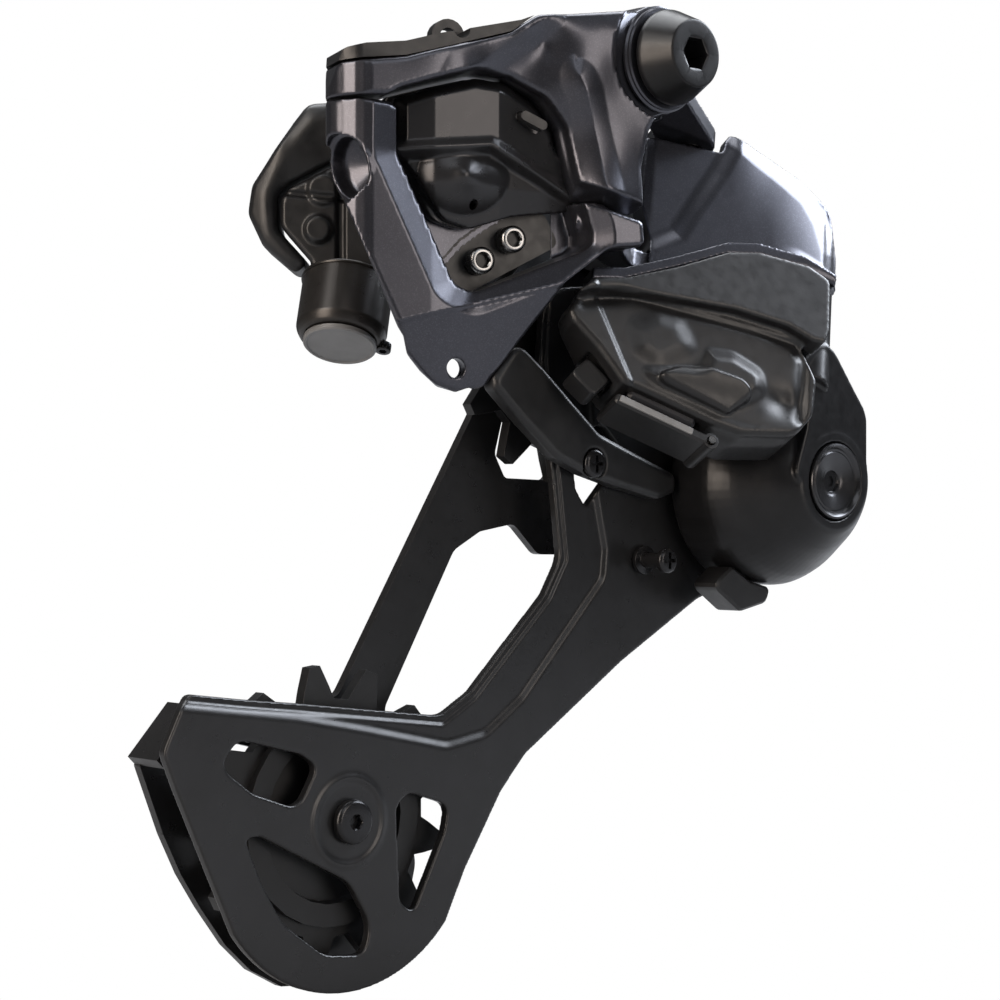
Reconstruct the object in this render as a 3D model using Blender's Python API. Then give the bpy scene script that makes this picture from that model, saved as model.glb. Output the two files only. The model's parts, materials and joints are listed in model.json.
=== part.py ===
"""Rear bicycle derailleur with an electric drive: hanger bolt, bracket, parallelogram, cage and pulleys.

Frame: origin on the hanger bolt's axis at the hanger's outboard face, +X forward, +Y inboard
(towards the wheel), +Z up. Every size below is in millimetres and becomes metres in finish().
"""
import math

import bmesh
import bpy
from mathutils import Matrix, Vector

MM = 0.001
GAP = 0.3                       # clearance between neighbouring pieces
ROUND = 24                      # sides of a middle-sized turned piece
CORNER_STEPS = 2                # segments in a rounded corner of an outline
CHAMFER_ANGLE = math.radians(50.0)

# Places in the row frame
TENSION = Vector((-65.0, 9.0, -148.0))
GUIDE = Vector((-4.0, 9.0, -55.4))
CAGE_PIVOT = Vector((41.0, 9.0, -84.0))

# Parallelogram: its four pivots are parallel to PIVOT_DIR
PIVOT_DIR = Vector((0.359, 0.259, 0.897)).normalized()
LINK_START = Vector((14.1, -8.0, -42.6))       # outer link's pivot on the bracket
LINK_SPAN = Vector((26.48, -12.34, -7.03))     # from there to its pivot on the cage knuckle
LINK_LENGTH = LINK_SPAN.length
INNER_PIVOT = (-7.9, 20.5)                     # inner link's pivot: along the link, and inboard
FAR_INNER = (LINK_LENGTH + INNER_PIVOT[0], INNER_PIVOT[1])
PIN_RADIUS = 2.2

# Pulleys and cage
TEETH = 13
TIP_RADIUS = 29.0
ROOT_RADIUS = 22.6
TOOTH_THICKNESS = 2.4
OUTER_PLATE = (5.5, 7.5)        # from the chain line, outboard positive
INNER_PLATE = (-7.0, -5.0)
PIVOT_IN_CAGE = (CAGE_PIVOT.x - TENSION.x, CAGE_PIVOT.z - TENSION.z)
GUIDE_IN_CAGE = (GUIDE.x - TENSION.x, GUIDE.z - TENSION.z)
STOP_PIN_AT = (77.5, 47.6)      # these are measured from the tension pulley
GUARD_SCREW_AT = (59.3, 67.4)
SLOTS = (
    [(-29.5, 12.3, 3), (-25.6, 17.0, 2), (-11.3, 13.3, 1.5), (-7.4, 10.8, 2), (-11.8, 3.2, 2),
     (-22.2, 6.9, 3)],
    [(-24.0, -1.0, 1.5), (-20.5, -0.9, 1.5), (0.0, -11.4, 3), (5.2, -20.0, 4), (3.6, -25.6, 2.5),
     (-6.0, -24.4, 4), (-15.5, -17.5, 4), (-20.6, -9.0, 3)],
    [(11.2, 1.6, 2), (14.2, 4.4, 2), (24.6, 1.0, 2), (23.4, -4.4, 3), (15.6, -19.0, 1.8), (12.2, -16.6, 2)],
)
OUTER_WINDOWS = (
    [(57.4, 72.0, 2), (58.6, 62.4, 2), (61.5, 58.4, 1.5), (66.4, 63.6, 2), (72.0, 70.0, 3), (66.0, 76.0, 3)],
)
INNER_WINDOWS = (
    [(47.6, 69.5, 2), (50.4, 64.6, 1.5), (62.5, 64.2, 2), (64.5, 70.0, 2), (60.0, 79.5, 3), (50.5, 79.5, 3)],
    [(68.0, 66.0, 2), (71.0, 57.6, 2), (79.0, 57.8, 2), (80.5, 65.0, 2), (76.0, 73.0, 3), (70.0, 76.0, 3)],
)

# Bracket: its window, and the limit screws
WINDOW = [(-58.0, -9.8, 1.5), (-50.0, -7.4, 3), (-42.0, -5.2, 4), (-35.5, -5.8, 4), (-28.0, -9.4, 4),
          (-23.8, -14.6, 3), (-21.6, -24.0, 2), (-20.0, -29.0, 1.0)]
COLUMN_AXIS = (-56.7, 7.7)      # of its rounded rear end, seen from above
COLUMN_RADIUS = 7.3
REAR_PORT_RADIUS = 5.9
MOTOR_RADIUS = 9.2
LIMIT_SCREWS = ((-38.3, -41.0), (-31.7, -36.6))
LIMIT_SCREW_HEAD = 2.7
EYELET = (-45.6, 2.2)
BUTTON_ENDS = ((-31.8, -13.3), (-28.2, -14.9))

# Battery
PACK_CORNER = (-4.3, -34.6)     # middle of the pack's lower end
PACK_TILT = math.radians(-11.5)

# Hanger bolt
BOLT_FACE_Y = -26.0
BOLT_HEAD_RADIUS = 6.7
BOLT_CONE_RADIUS = 9.5
BOLT_SHANK_RADIUS = 5.0


# ---------------------------------------------------------------- frames and outlines

class Frame:
    """A right-handed local frame: outlines lie in u, v and are extruded along w."""

    def __init__(self, origin, u, v):
        self.origin = Vector(origin)
        self.u = Vector(u).normalized()
        self.v = Vector(v)
        self.v = (self.v - self.v.dot(self.u) * self.u).normalized()
        self.w = self.u.cross(self.v)

    def at(self, u, v, w=0.0):
        return self.origin + u * self.u + v * self.v + w * self.w


SIDE = Frame(CAGE_PIVOT, (1, 0, 0), (0, 0, 1))
CAGE = Frame(TENSION, (1, 0, 0), (0, 0, 1))
HANGER = Frame((0, 0, 0), (1, 0, 0), (0, 0, 1))
GUIDE_SIDE = Frame(GUIDE, (1, 0, 0), (0, 0, 1))
BRACKET = Frame((0, -21, 0), (0.938, -0.346, 0), (0, 0, 1))
B_SCREW = Frame((-23.5, -5.0, 0.5), (0, 1, 0), (0.63, 0, 0.77))      # w runs down and forward to the lug
LINK = Frame(LINK_START, LINK_SPAN, PIVOT_DIR)
PLAN = Frame(LINK_START, LINK.u, LINK.w * -1.0)     # u along the link, v inboard, w = PIVOT_DIR
MOTOR = Frame((-42.6, 30.7, -46.1), (0.74, -0.667, -0.103), (-0.57, -0.70, 0.43))
REAR = Frame((-40.0, 12.0, -30.0), (0.74, -0.667, 0.0), (0, 0, 1))
REAR_PORT = Frame((-60.2, 7.7, -24.7), (0.087, 0.978, 0), (0.2, 0, -0.978))   # w points out of its mouth


def circle(radius, center=(0.0, 0.0), sides=ROUND, turn=0.0):
    steps = [turn + math.tau * i / sides for i in range(sides)]
    return [(center[0] + radius * math.cos(a), center[1] + radius * math.sin(a)) for a in steps]


def hexagon(across_flats, center=(0.0, 0.0)):
    return circle(across_flats / math.sqrt(3.0), center, 6)


def arc(radius, first, last, steps):
    turns = [math.radians(first + (last - first) * i / steps) for i in range(steps + 1)]
    return [(radius * math.cos(a), radius * math.sin(a)) for a in turns]


def rounded(corners):
    """Fillet a closed outline. A corner is (u, v) or (u, v, radius)."""
    out = []
    count = len(corners)
    for i, corner in enumerate(corners):
        here = Vector(corner[:2])
        radius = corner[2] if len(corner) > 2 else 0.0
        if radius <= 0.0:
            out.append(tuple(here))
            continue
        before = (Vector(corners[i - 1][:2]) - here)
        after = (Vector(corners[(i + 1) % count][:2]) - here)
        half = before.angle(after) / 2.0
        reach = min(radius / math.tan(half), 0.48 * before.length, 0.48 * after.length)
        start = here + before.normalized() * reach
        end = here + after.normalized() * reach
        for step in range(CORNER_STEPS + 1):
            t = step / CORNER_STEPS
            point = (1 - t) ** 2 * start + 2 * t * (1 - t) * here + t * t * end
            out.append(tuple(point))
    return out


def capsule(start, end, radius, steps=8):
    """Outline round two points."""
    a, b = Vector(start), Vector(end)
    angle = math.atan2(b.y - a.y, b.x - a.x)
    out = []
    for center, first in ((b, angle - math.pi / 2), (a, angle + math.pi / 2)):
        for i in range(steps + 1):
            turn = first + math.pi * i / steps
            out.append((center.x + radius * math.cos(turn), center.y + radius * math.sin(turn)))
    return out


# ---------------------------------------------------------------- solids

def new_object(name, bm):
    bmesh.ops.recalc_face_normals(bm, faces=bm.faces)
    mesh = bpy.data.meshes.new(name)
    bm.to_mesh(mesh)
    bm.free()
    obj = bpy.data.objects.new(name, mesh)
    bpy.context.scene.collection.objects.link(obj)
    return obj


def prism(name, frame, outline, low, high):
    bm = bmesh.new()
    rings = [[bm.verts.new(frame.at(u, v, w)) for u, v in outline] for w in (low, high)]
    bm.faces.new(rings[0])
    bm.faces.new(rings[1])
    count = len(outline)
    for i in range(count):
        j = (i + 1) % count
        bm.faces.new((rings[0][i], rings[0][j], rings[1][j], rings[1][i]))
    return new_object(name, bm)


def soft_prism(name, frame, outline, low, high, edge=0.6):
    """A prism with its two rims broken by a chamfer."""
    return chamfer(prism(name, frame, outline, low, high), edge)


def turned(name, frame, profile, sides=ROUND, center=(0.0, 0.0)):
    """Spin a closed profile of (radius, w) about w. A radius of 0 is on the axis."""
    bm = bmesh.new()
    rings = []
    for radius, w in profile:
        if radius == 0.0:
            rings.append([bm.verts.new(frame.at(center[0], center[1], w))])
        else:
            ring = circle(radius, center, sides)
            rings.append([bm.verts.new(frame.at(u, v, w)) for u, v in ring])
    closed = profile[0][0] > 0.0
    pairs = list(zip(rings, rings[1:]))
    if closed:
        pairs.append((rings[-1], rings[0]))
    for one, two in pairs:
        for i in range(sides):
            j = (i + 1) % sides
            if len(one) == 1 and len(two) == 1:
                continue
            if len(one) == 1:
                bm.faces.new((one[0], two[i], two[j]))
            elif len(two) == 1:
                bm.faces.new((one[i], one[j], two[0]))
            else:
                bm.faces.new((one[i], one[j], two[j], two[i]))
    return new_object(name, bm)


def rod(name, frame, radius, low, high, sides=ROUND, center=(0.0, 0.0)):
    return turned(name, frame, [(0, low), (radius, low), (radius, high), (0, high)], sides, center)


def tube(name, frame, inner, outer, low, high, sides=ROUND, center=(0.0, 0.0)):
    profile = [(inner, low), (outer, low), (outer, high), (inner, high)]
    return turned(name, frame, profile, sides, center)


def combine(target, tools, operation):
    """Apply a Boolean with each tool in turn and remove the tools."""
    for tool in tools:
        modifier = target.modifiers.new(operation, "BOOLEAN")
        modifier.operation = operation
        modifier.solver = "EXACT"
        modifier.object = tool
        tool.hide_render = True
        tool.display_type = "WIRE"
        graph = bpy.context.evaluated_depsgraph_get()
        mesh = bpy.data.meshes.new_from_object(target.evaluated_get(graph))
        target.modifiers.clear()
        target.data = mesh
        bpy.data.objects.remove(tool)
    return target


def cut(target, *tools):
    return combine(target, tools, "DIFFERENCE")


def join(target, *tools):
    return combine(target, tools, "UNION")


def keep(target, *tools):
    return combine(target, tools, "INTERSECT")


def chamfer(obj, width):
    """Break the edges that are sharper than CHAMFER_ANGLE."""
    bm = bmesh.new()
    bm.from_mesh(obj.data)
    edges = [e for e in bm.edges if e.calc_face_angle() > CHAMFER_ANGLE]
    bmesh.ops.bevel(bm, geom=edges, offset=width, segments=1, affect="EDGES", clamp_overlap=True, profile=0.5)
    bm.to_mesh(obj.data)
    bm.free()
    return obj


MATERIALS = {
    "painted_alloy": ((0.075, 0.075, 0.088), 0.32, 0.7),
    "black_alloy": ((0.022, 0.022, 0.024), 0.38, 0.6),
    "black_plastic": ((0.018, 0.018, 0.019), 0.5, 0.0),
    "dark_plastic": ((0.045, 0.043, 0.042), 0.42, 0.0),
    "black_steel": ((0.03, 0.03, 0.033), 0.34, 0.9),
    "bright_steel": ((0.55, 0.55, 0.54), 0.22, 1.0),
    "spring_steel": ((0.3, 0.3, 0.3), 0.3, 1.0),
    "battery_wrap": ((0.03, 0.03, 0.035), 0.45, 0.0),
}


def material(name):
    found = bpy.data.materials.get(name)
    if found:
        return found
    color, roughness, metallic = MATERIALS[name]
    made = bpy.data.materials.new(name)
    made.use_nodes = True
    shader = made.node_tree.nodes["Principled BSDF"]
    shader.inputs["Base Color"].default_value = (*color, 1.0)
    shader.inputs["Roughness"].default_value = roughness
    shader.inputs["Metallic"].default_value = metallic
    return made


def finish(obj, slot, origin=(0, 0, 0), smooth=35.0):
    """Scale to metres, put the object's origin on its joint, and give it its material."""
    place = Vector(origin)
    obj.data.transform(Matrix.Scale(MM, 4) @ Matrix.Translation(-place))
    obj.location = place * MM
    obj.data.materials.clear()
    obj.data.materials.append(material(slot))
    obj.data.shade_smooth()
    obj.data.set_sharp_from_angle(angle=math.radians(smooth))
    return obj


# ---------------------------------------------------------------- hanger bolt

def make_hanger_bolt():
    shank_end = 9.5
    profile = [(0, -shank_end), (4.2, -shank_end), (BOLT_SHANK_RADIUS, -8.5), (BOLT_SHANK_RADIUS, 18.0),
               (8.6, 18.0), (BOLT_CONE_RADIUS, 18.8), (BOLT_CONE_RADIUS, 19.8),
               (BOLT_HEAD_RADIUS, -BOLT_FACE_Y), (0, -BOLT_FACE_Y)]
    bolt = turned("hanger_bolt", HANGER, profile)
    cut(bolt, prism("socket", HANGER, hexagon(6.0), 20.5, 27.0))
    finish(bolt, "black_alloy")

    collar = tube("bolt_collar", HANGER, BOLT_SHANK_RADIUS + GAP, 10.6, 15.9, 17.7)
    finish(collar, "black_alloy")

    # Stopper plate: held against the hanger, with the lug that the adjusting screw pushes on
    outline = rounded([(9.5, -3, 3), (9.5, 6, 5), (3, 9.8, 5), (-6, 9, 4), (-9.8, 0, 4), (-13, -9, 2),
                       (-9.5, -12.5, 1.5), (-4, -9, 2), (4, -9.5, 4)])
    plate = prism("stopper_plate", HANGER, outline, 0.0, 2.6)
    lug = prism("lug", HANGER, rounded([(-8.2, -5.5, 1), (-13.4, -9.4, 1), (-10.4, -13, 1), (-5.6, -9.3, 1)]),
                0.5, 7.5)
    join(plate, lug)
    cut(plate, rod("hole", HANGER, BOLT_SHANK_RADIUS + GAP, -1, 4))
    finish(plate, "black_steel")


# ---------------------------------------------------------------- bracket

def make_upper_bracket():
    outline = rounded([(-70.8, -11.6), (-69.4, -5.2), (-57.0, -3.8, 4), (-47.9, -1.3, 4), (-35.3, 2.3, 4),
                       (-29.8, 6.0, 3), (-8.0, 9.0, 4), (4.0, 9.3, 6), (9.0, 2.0, 6), (6.0, -8.0, 5),
                       (-5.5, -12.5, 5), (-7.6, -22.0, 4), (-7.0, -31.5, 1), (-19.0, -29.0, 1)] +
                      WINDOW[::-1] + [(-60.5, -11.2, 1)])
    body = soft_prism("upper_bracket", BRACKET, outline, -18.0, 0.0)
    boss = rod("boss", HANGER, 10.9, 2.9, 15.6)
    join(body, boss)
    arm = upper_arm()
    join(body, arm)
    # room for the hanger, the stopper plate and the bolt head
    cut(body, prism("hanger_room", HANGER, rounded([(-15, -6, 6), (-15, 30), (15, 30), (15, -9.5, 6),
                                                  (0, -14.5, 6)]), -12.0, 2.9))
    lug_swing = [(-3.5, -4.0), (-9.0, -2.0), (-17.0, -6.0), (-15.0, -13.5), (-8.0, -19.0), (4.0, -19.0),
                 (4.0, -9.0)]
    cut(body, prism("lug_room", HANGER, lug_swing, 0.0, 8.3))
    cut(body, rod("head_room", HANGER, 13.0, 15.7, 40.0))
    cut(body, rod("bore", HANGER, 6.6, -5, 40))
    cut(body, prism("lower_arm_room", PLAN, [(-60, -40), (-60, 40), (30, 40), (30, -40)], -30.0, 1.8))
    cut(body, rod("screw_bore", B_SCREW, 1.6 + GAP, -3, 16, 12))
    cut(body, rod("screw_head_room", B_SCREW, 2.3 + GAP, -30, 2.8, 16))
    cut(body, prism("back_room", HANGER, [(-90, -60), (-90, 30), (-10, 30), (-10, -60)], -40.0, -15.0))
    cut(body, column_room())
    finish(body, "painted_alloy")

    sleeve = tube("bolt_sleeve", HANGER, BOLT_SHANK_RADIUS + 0.08, 6.3, 2.9, 15.6)
    finish(sleeve, "bright_steel")


def column_room():
    """Everything outside the rounded column at the bracket's rear end."""
    x, y = COLUMN_AXIS
    reach = 60.0
    turns = [math.radians(250.0 - 16.0 * i) for i in range(8)]
    outline = [(x + COLUMN_RADIUS * math.cos(a), y + COLUMN_RADIUS * math.sin(a)) for a in turns]
    first, last = turns[0] - math.pi / 2, turns[-1] - math.pi / 2
    start = (outline[0][0] + reach * math.cos(first), outline[0][1] + reach * math.sin(first))
    end = (outline[-1][0] + reach * math.cos(last), outline[-1][1] + reach * math.sin(last))
    floor = Frame((0, 0, 0), (1, 0, 0), (0, 1, 0))
    return prism("column_room", floor, [start] + outline + [end, (-140.0, 60.0), (-140.0, 0.0)], -100.0, 50.0)


def upper_arm():
    """Carries the upper ends of both link pins, square to the pins."""
    outline = rounded([(-21, -26, 3), (-12, -20, 4), (4.6, -3.8, 4), (4.6, 3.6, 4), (-3.2, 14.0, 5),
                       (-2.4, 23.0, 4), (-7.9, 26.2, 4), (-13.4, 21.5, 4), (-10.0, 8.0, 5), (-7.0, -1.0, 5),
                       (-17.5, -7.5, 4), (-26.0, -12.0, 3)])
    arm = prism("arm", PLAN, outline, 31.8, 36.0)
    cut(arm, rod("outer_hole", PLAN, PIN_RADIUS + GAP, 25, 40, 16))
    cut(arm, rod("inner_hole", PLAN, PIN_RADIUS + GAP, 25, 40, 16, INNER_PIVOT))
    return arm


def make_lower_bracket():
    outline = rounded([(-70.9, -12.0), (-72.6, -25.0, 4), (-71.0, -29.5, 4), (-58.4, -55.3, 1),
                       (-57.2, -59.5, 2), (-52.2, -65.2, 3), (-46.5, -67.2, 4), (-41.0, -65.8, 3),
                       (-34.2, -57.6, 3), (-24.0, -45.6, 3), (-15.0, -38.6, 3), (-7.0, -37.8, 1),
                       (-7.4, -33.0, 1), (-19.2, -29.6, 1), (-26.0, -27.0), (-60.5, -12.0)])
    body = soft_prism("lower_bracket", BRACKET, outline, -18.0, 0.0)
    pocket = rounded([(-59.0, -8.0), (-59.2, -21.5, 3), (-47.5, -46.2, 3), (-43.5, -48.0, 3),
                      (-17.5, -38.0, 3), (-21.2, -26.0)])
    cut(body, prism("pocket", BRACKET, pocket, -12.0, 5.0))
    for center in LIMIT_SCREWS:
        cut(body, rod("screw_hole", BRACKET, 2.0, -20, 12, 14, center))
    shelf = lower_arm()
    join(body, shelf)
    # the guide pulley and its cage turn just inboard of here
    cut(body, prism("pulley_room", GUIDE_SIDE, capsule((-9, -6), (0, 0), TIP_RADIUS + 2.2, 20), -40.0, 10.8))
    cut(body, prism("back_room", HANGER, [(-90, -80), (-90, 30), (-43, 30), (-43, -80)], -40.0, -13.0))
    cut(body, rod("tab_hole", BRACKET, 1.9, -30, 5, 16, (-47.0, -62.4)))
    cut(body, column_room())
    # its rear edge, seen square on from the camera side
    edge = [(-15.9, 4.9), (-11.6, -4.3), (-7.0, -14.9), (-2.9, -25.0), (-1.9, -26.5), (-1.3, -29.9),
            (1.0, -32.9), (4.2, -35.9), (7.8, -36.9), (10.9, -35.8), (14.0, -50.0), (-60.0, -50.0),
            (-60.0, 4.9)]
    cut(body, prism("rear_edge", REAR, edge, -30.0, 40.0))
    # the open port, which faces the rear
    cut(body, rod("port_face", REAR_PORT, REAR_PORT_RADIUS + 0.9, 0.0, 14.0, 28))
    wall = rod("port_wall", REAR_PORT, REAR_PORT_RADIUS + 0.8, -9.0, 0.0, 28)
    cut(wall, prism("pocket", BRACKET, pocket, -12.0, 5.0))
    join(body, wall)
    profile = [(0, -6.2), (1.5, -6.2), (REAR_PORT_RADIUS, -3.2), (REAR_PORT_RADIUS, 3.0), (0, 3.0)]
    cut(body, turned("rear_port", REAR_PORT, profile, 28))
    finish(body, "painted_alloy")


def lower_arm():
    """Carries the lower end of the outer link's pin."""
    outline = rounded([(-30.0, -15.0, 2), (-24.0, -17.0, 3), (-12.5, -4.6, 4), (3.4, -4.4, 4), (4.6, 1.5, 4),
                       (0.5, 4.8, 4), (-6.0, 3.5, 4), (-24.0, -6.0, 3)])
    arm = prism("arm", PLAN, outline, -3.2, 1.4)
    cut(arm, rod("hole", PLAN, PIN_RADIUS + GAP, -10, 10, 16))
    return arm


def make_bracket_trim():
    """The drive's control case in the bracket's window, with its button, and the two limit screws."""
    outline = rounded([(-57.6, -22.5, 2), (-57.6, -10.4, 1.5), (-50.0, -8.0, 3), (-42.0, -5.8, 4),
                       (-35.5, -6.4, 4), (-28.3, -10.0, 4), (-24.4, -14.8, 3), (-22.3, -24.0, 2),
                       (-21.0, -28.6, 2), (-31.0, -24.0, 3), (-35.0, -20.0, 3), (-45.0, -19.8, 3)])
    case = soft_prism("control_case", BRACKET, outline, -11.6, -2.2, 0.9)
    nose = prism("nose", BRACKET, rounded([(-55.0, -19.0, 3), (-55.0, -24.0, 3), (-48.5, -33.5, 4),
                                           (-43.0, -35.0, 3), (-34.0, -32.0, 4), (-21.6, -30.0, 2),
                                           (-21.6, -24.0, 2), (-34.0, -19.0, 2)]), -11.6, -6.0)
    join(case, nose)
    cut(case, prism("slot", BRACKET, capsule(*BUTTON_ENDS, 1.3), -5.4, 0.0))
    for center in LIMIT_SCREWS:
        cut(case, rod("screw_room", BRACKET, LIMIT_SCREW_HEAD + GAP, -20, 0, 18, center))
    finish(case, "dark_plastic")

    button = prism("mode_button", BRACKET, capsule(*BUTTON_ENDS, 1.0), -4.3, -1.9)
    finish(button, "black_plastic", BRACKET.at(-30.0, -14.1, -3))

    for name, center in zip(("low_limit_screw", "high_limit_screw"), LIMIT_SCREWS):
        profile = [(0, -14.4), (1.7, -14.4), (1.7, -11.7), (LIMIT_SCREW_HEAD, -11.7),
                   (LIMIT_SCREW_HEAD, -8.6), (2.3, -8.0), (0, -8.0)]
        screw = turned(name, BRACKET, profile, 18, center)
        cut(screw, prism("socket", BRACKET, hexagon(2.5, center), -10.2, -7.0))
        finish(screw, "bright_steel", BRACKET.at(center[0], center[1], -8.0))

    profile = [(0, 0), (2.0, 0), (2.3, 0.4), (2.3, 2.5), (1.6, 2.5), (1.6, 12.6), (1.1, 13.2), (0, 13.2)]
    screw = turned("b_tension_screw", B_SCREW, profile, 16)
    cut(screw, prism("socket", B_SCREW, hexagon(2.5), -1.0, 1.6))
    finish(screw, "bright_steel", B_SCREW.at(0, 0, 0))

    top = rounded([(-69.4, -4.9), (-68.7, -2.6, 1), (-64.8, -1.7), (-57.0, -0.8, 3), (-49.9, 1.2, 3),
                   (-33.4, 4.9), (-30.6, 6.0), (-35.3, 2.6, 4), (-47.9, -1.0, 4), (-57.0, -3.5, 4)])
    cover = prism("top_cover", BRACKET, top, -16.6, -0.4)
    eyelet = rod("eyelet", BRACKET, 3.4, -11.0, -8.0, 20, EYELET)
    below = [(-57.0, -3.5), (-47.9, -1.0), (-35.3, 2.6), (-35.3, -9.0), (-57.0, -9.0)]
    cut(eyelet, prism("bracket_room", BRACKET, below, -12.0, -7.0))
    join(cover, eyelet)
    cut(cover, rod("eyelet_hole", BRACKET, 1.7, -20.0, 5.0, 14, EYELET))
    cut(cover, column_room())
    finish(cover, "black_plastic")


# ---------------------------------------------------------------- drive on the bracket's inboard side

def make_drive():
    """Gearbox, motor and side cover; the motor stands roughly parallel to the pivots."""
    profile = [(0, -2.6), (MOTOR_RADIUS, -2.6), (MOTOR_RADIUS, 9.2), (8.0, 11.0), (0, 11.0)]
    finish(turned("motor_can", MOTOR, profile, 28), "black_alloy")
    finish(rod("motor_end_cap", MOTOR, 7.4, 11.3, 12.4, 28), "bright_steel")

    outline = rounded([(-27.6, -3.0, 3), (-27.6, 3.3, 3), (-25.2, 5.3, 3), (-10.0, 12.8, 3), (-4.0, 13.0, 3),
                       (-2.0, -6.0, 3), (-5.0, -13.0, 3), (-21.6, -14.0, 1), (-21.6, -9.9, 1)])
    case = soft_prism("gearbox_case", REAR, outline, -20.0, -9.0, 0.7)
    cut(case, rod("motor_room", MOTOR, MOTOR_RADIUS + GAP, -2.9, 20.0, 28))
    finish(case, "black_plastic")
    outline = rounded([(-10.0, 22.7, 2), (-22.2, 22.1, 3), (-25.0, 18.3, 3), (-33.5, 5.6, 3),
                       (-34.4, -0.1, 3),
                       (-31.3, -6.7, 3), (-24.7, -12.4, 1.5), (-22.2, -10.0, 1.0), (-28.2, -3.4, 3),
                       (-28.2, 3.6, 3), (-25.6, 6.0, 3), (-10.0, 14.0, 3)])
    finish(soft_prism("side_cover", REAR, outline, -24.0, -9.0, 0.7), "black_plastic")


# ---------------------------------------------------------------- parallelogram

def make_outer_link():
    plan = rounded([(-12.2, -5.5, 3), (LINK_LENGTH, -5.5, 3), (LINK_LENGTH + 5.0, -4.0, 4),
                    (LINK_LENGTH + 4.0, 4.0, 4), (LINK_LENGTH - 3.0, 4.8, 3), (-7.0, 4.8, 5),
                    (-12.2, 0.0, 5)])
    body = prism("outer_link", PLAN, plan, -12.0, 40.0)
    front = rounded([(-12.4, 29.0, 1.5), (-6.0, 29.4), (5.6, 30.4, 1), (6.6, 36.2, 2), (24.5, 29.6, 6),
                     (32.0, 24.4, 4), (34.4, 14.0, 6), (35.0, 4.6, 1), (28.0, 5.4, 5), (12.4, 5.8, 8),
                     (5.5, 3.4, 8), (-5.0, -3.4, 4), (-9.6, -5.0, 1), (-9.2, 4.0, 2), (-12.0, 14.0, 8)])
    keep(body, prism("front", LINK, front, -10.0, 8.0))
    lip_top = [(-23.0, -9.4), (-16.0, -7.3), (-5.0, -1.2), (5.5, 5.2), (12.4, 7.2), (23.5, 7.4), (30.6, 5.0)]
    lip_low = [(u, v - 2.6) for u, v in reversed(lip_top)]
    join(body, prism("lip", LINK, lip_top + lip_low, 5.2, 10.5))
    cut(body, prism("lower_arm_room", PLAN, [(-40, -5.2), (8, -5.2), (8, 12), (-40, 12)], -30.0, 1.8))
    cut(body, prism("upper_arm_room", PLAN, [(-40, -2.3), (50, -2.3), (50, 20), (-40, 20)], 31.2, 60.0))
    cut(body, rod("post_room", PLAN, 6.0, -30, 6.0, 28, (LINK_LENGTH + 0.8, 0)))
    cut(body, rod("near_bore", PLAN, PIN_RADIUS + GAP, -30, 60, 16))
    cut(body, rod("far_bore", PLAN, PIN_RADIUS + GAP, -30, 60, 16, (LINK_LENGTH, 0)))
    finish(body, "painted_alloy", LINK_START)


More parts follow.
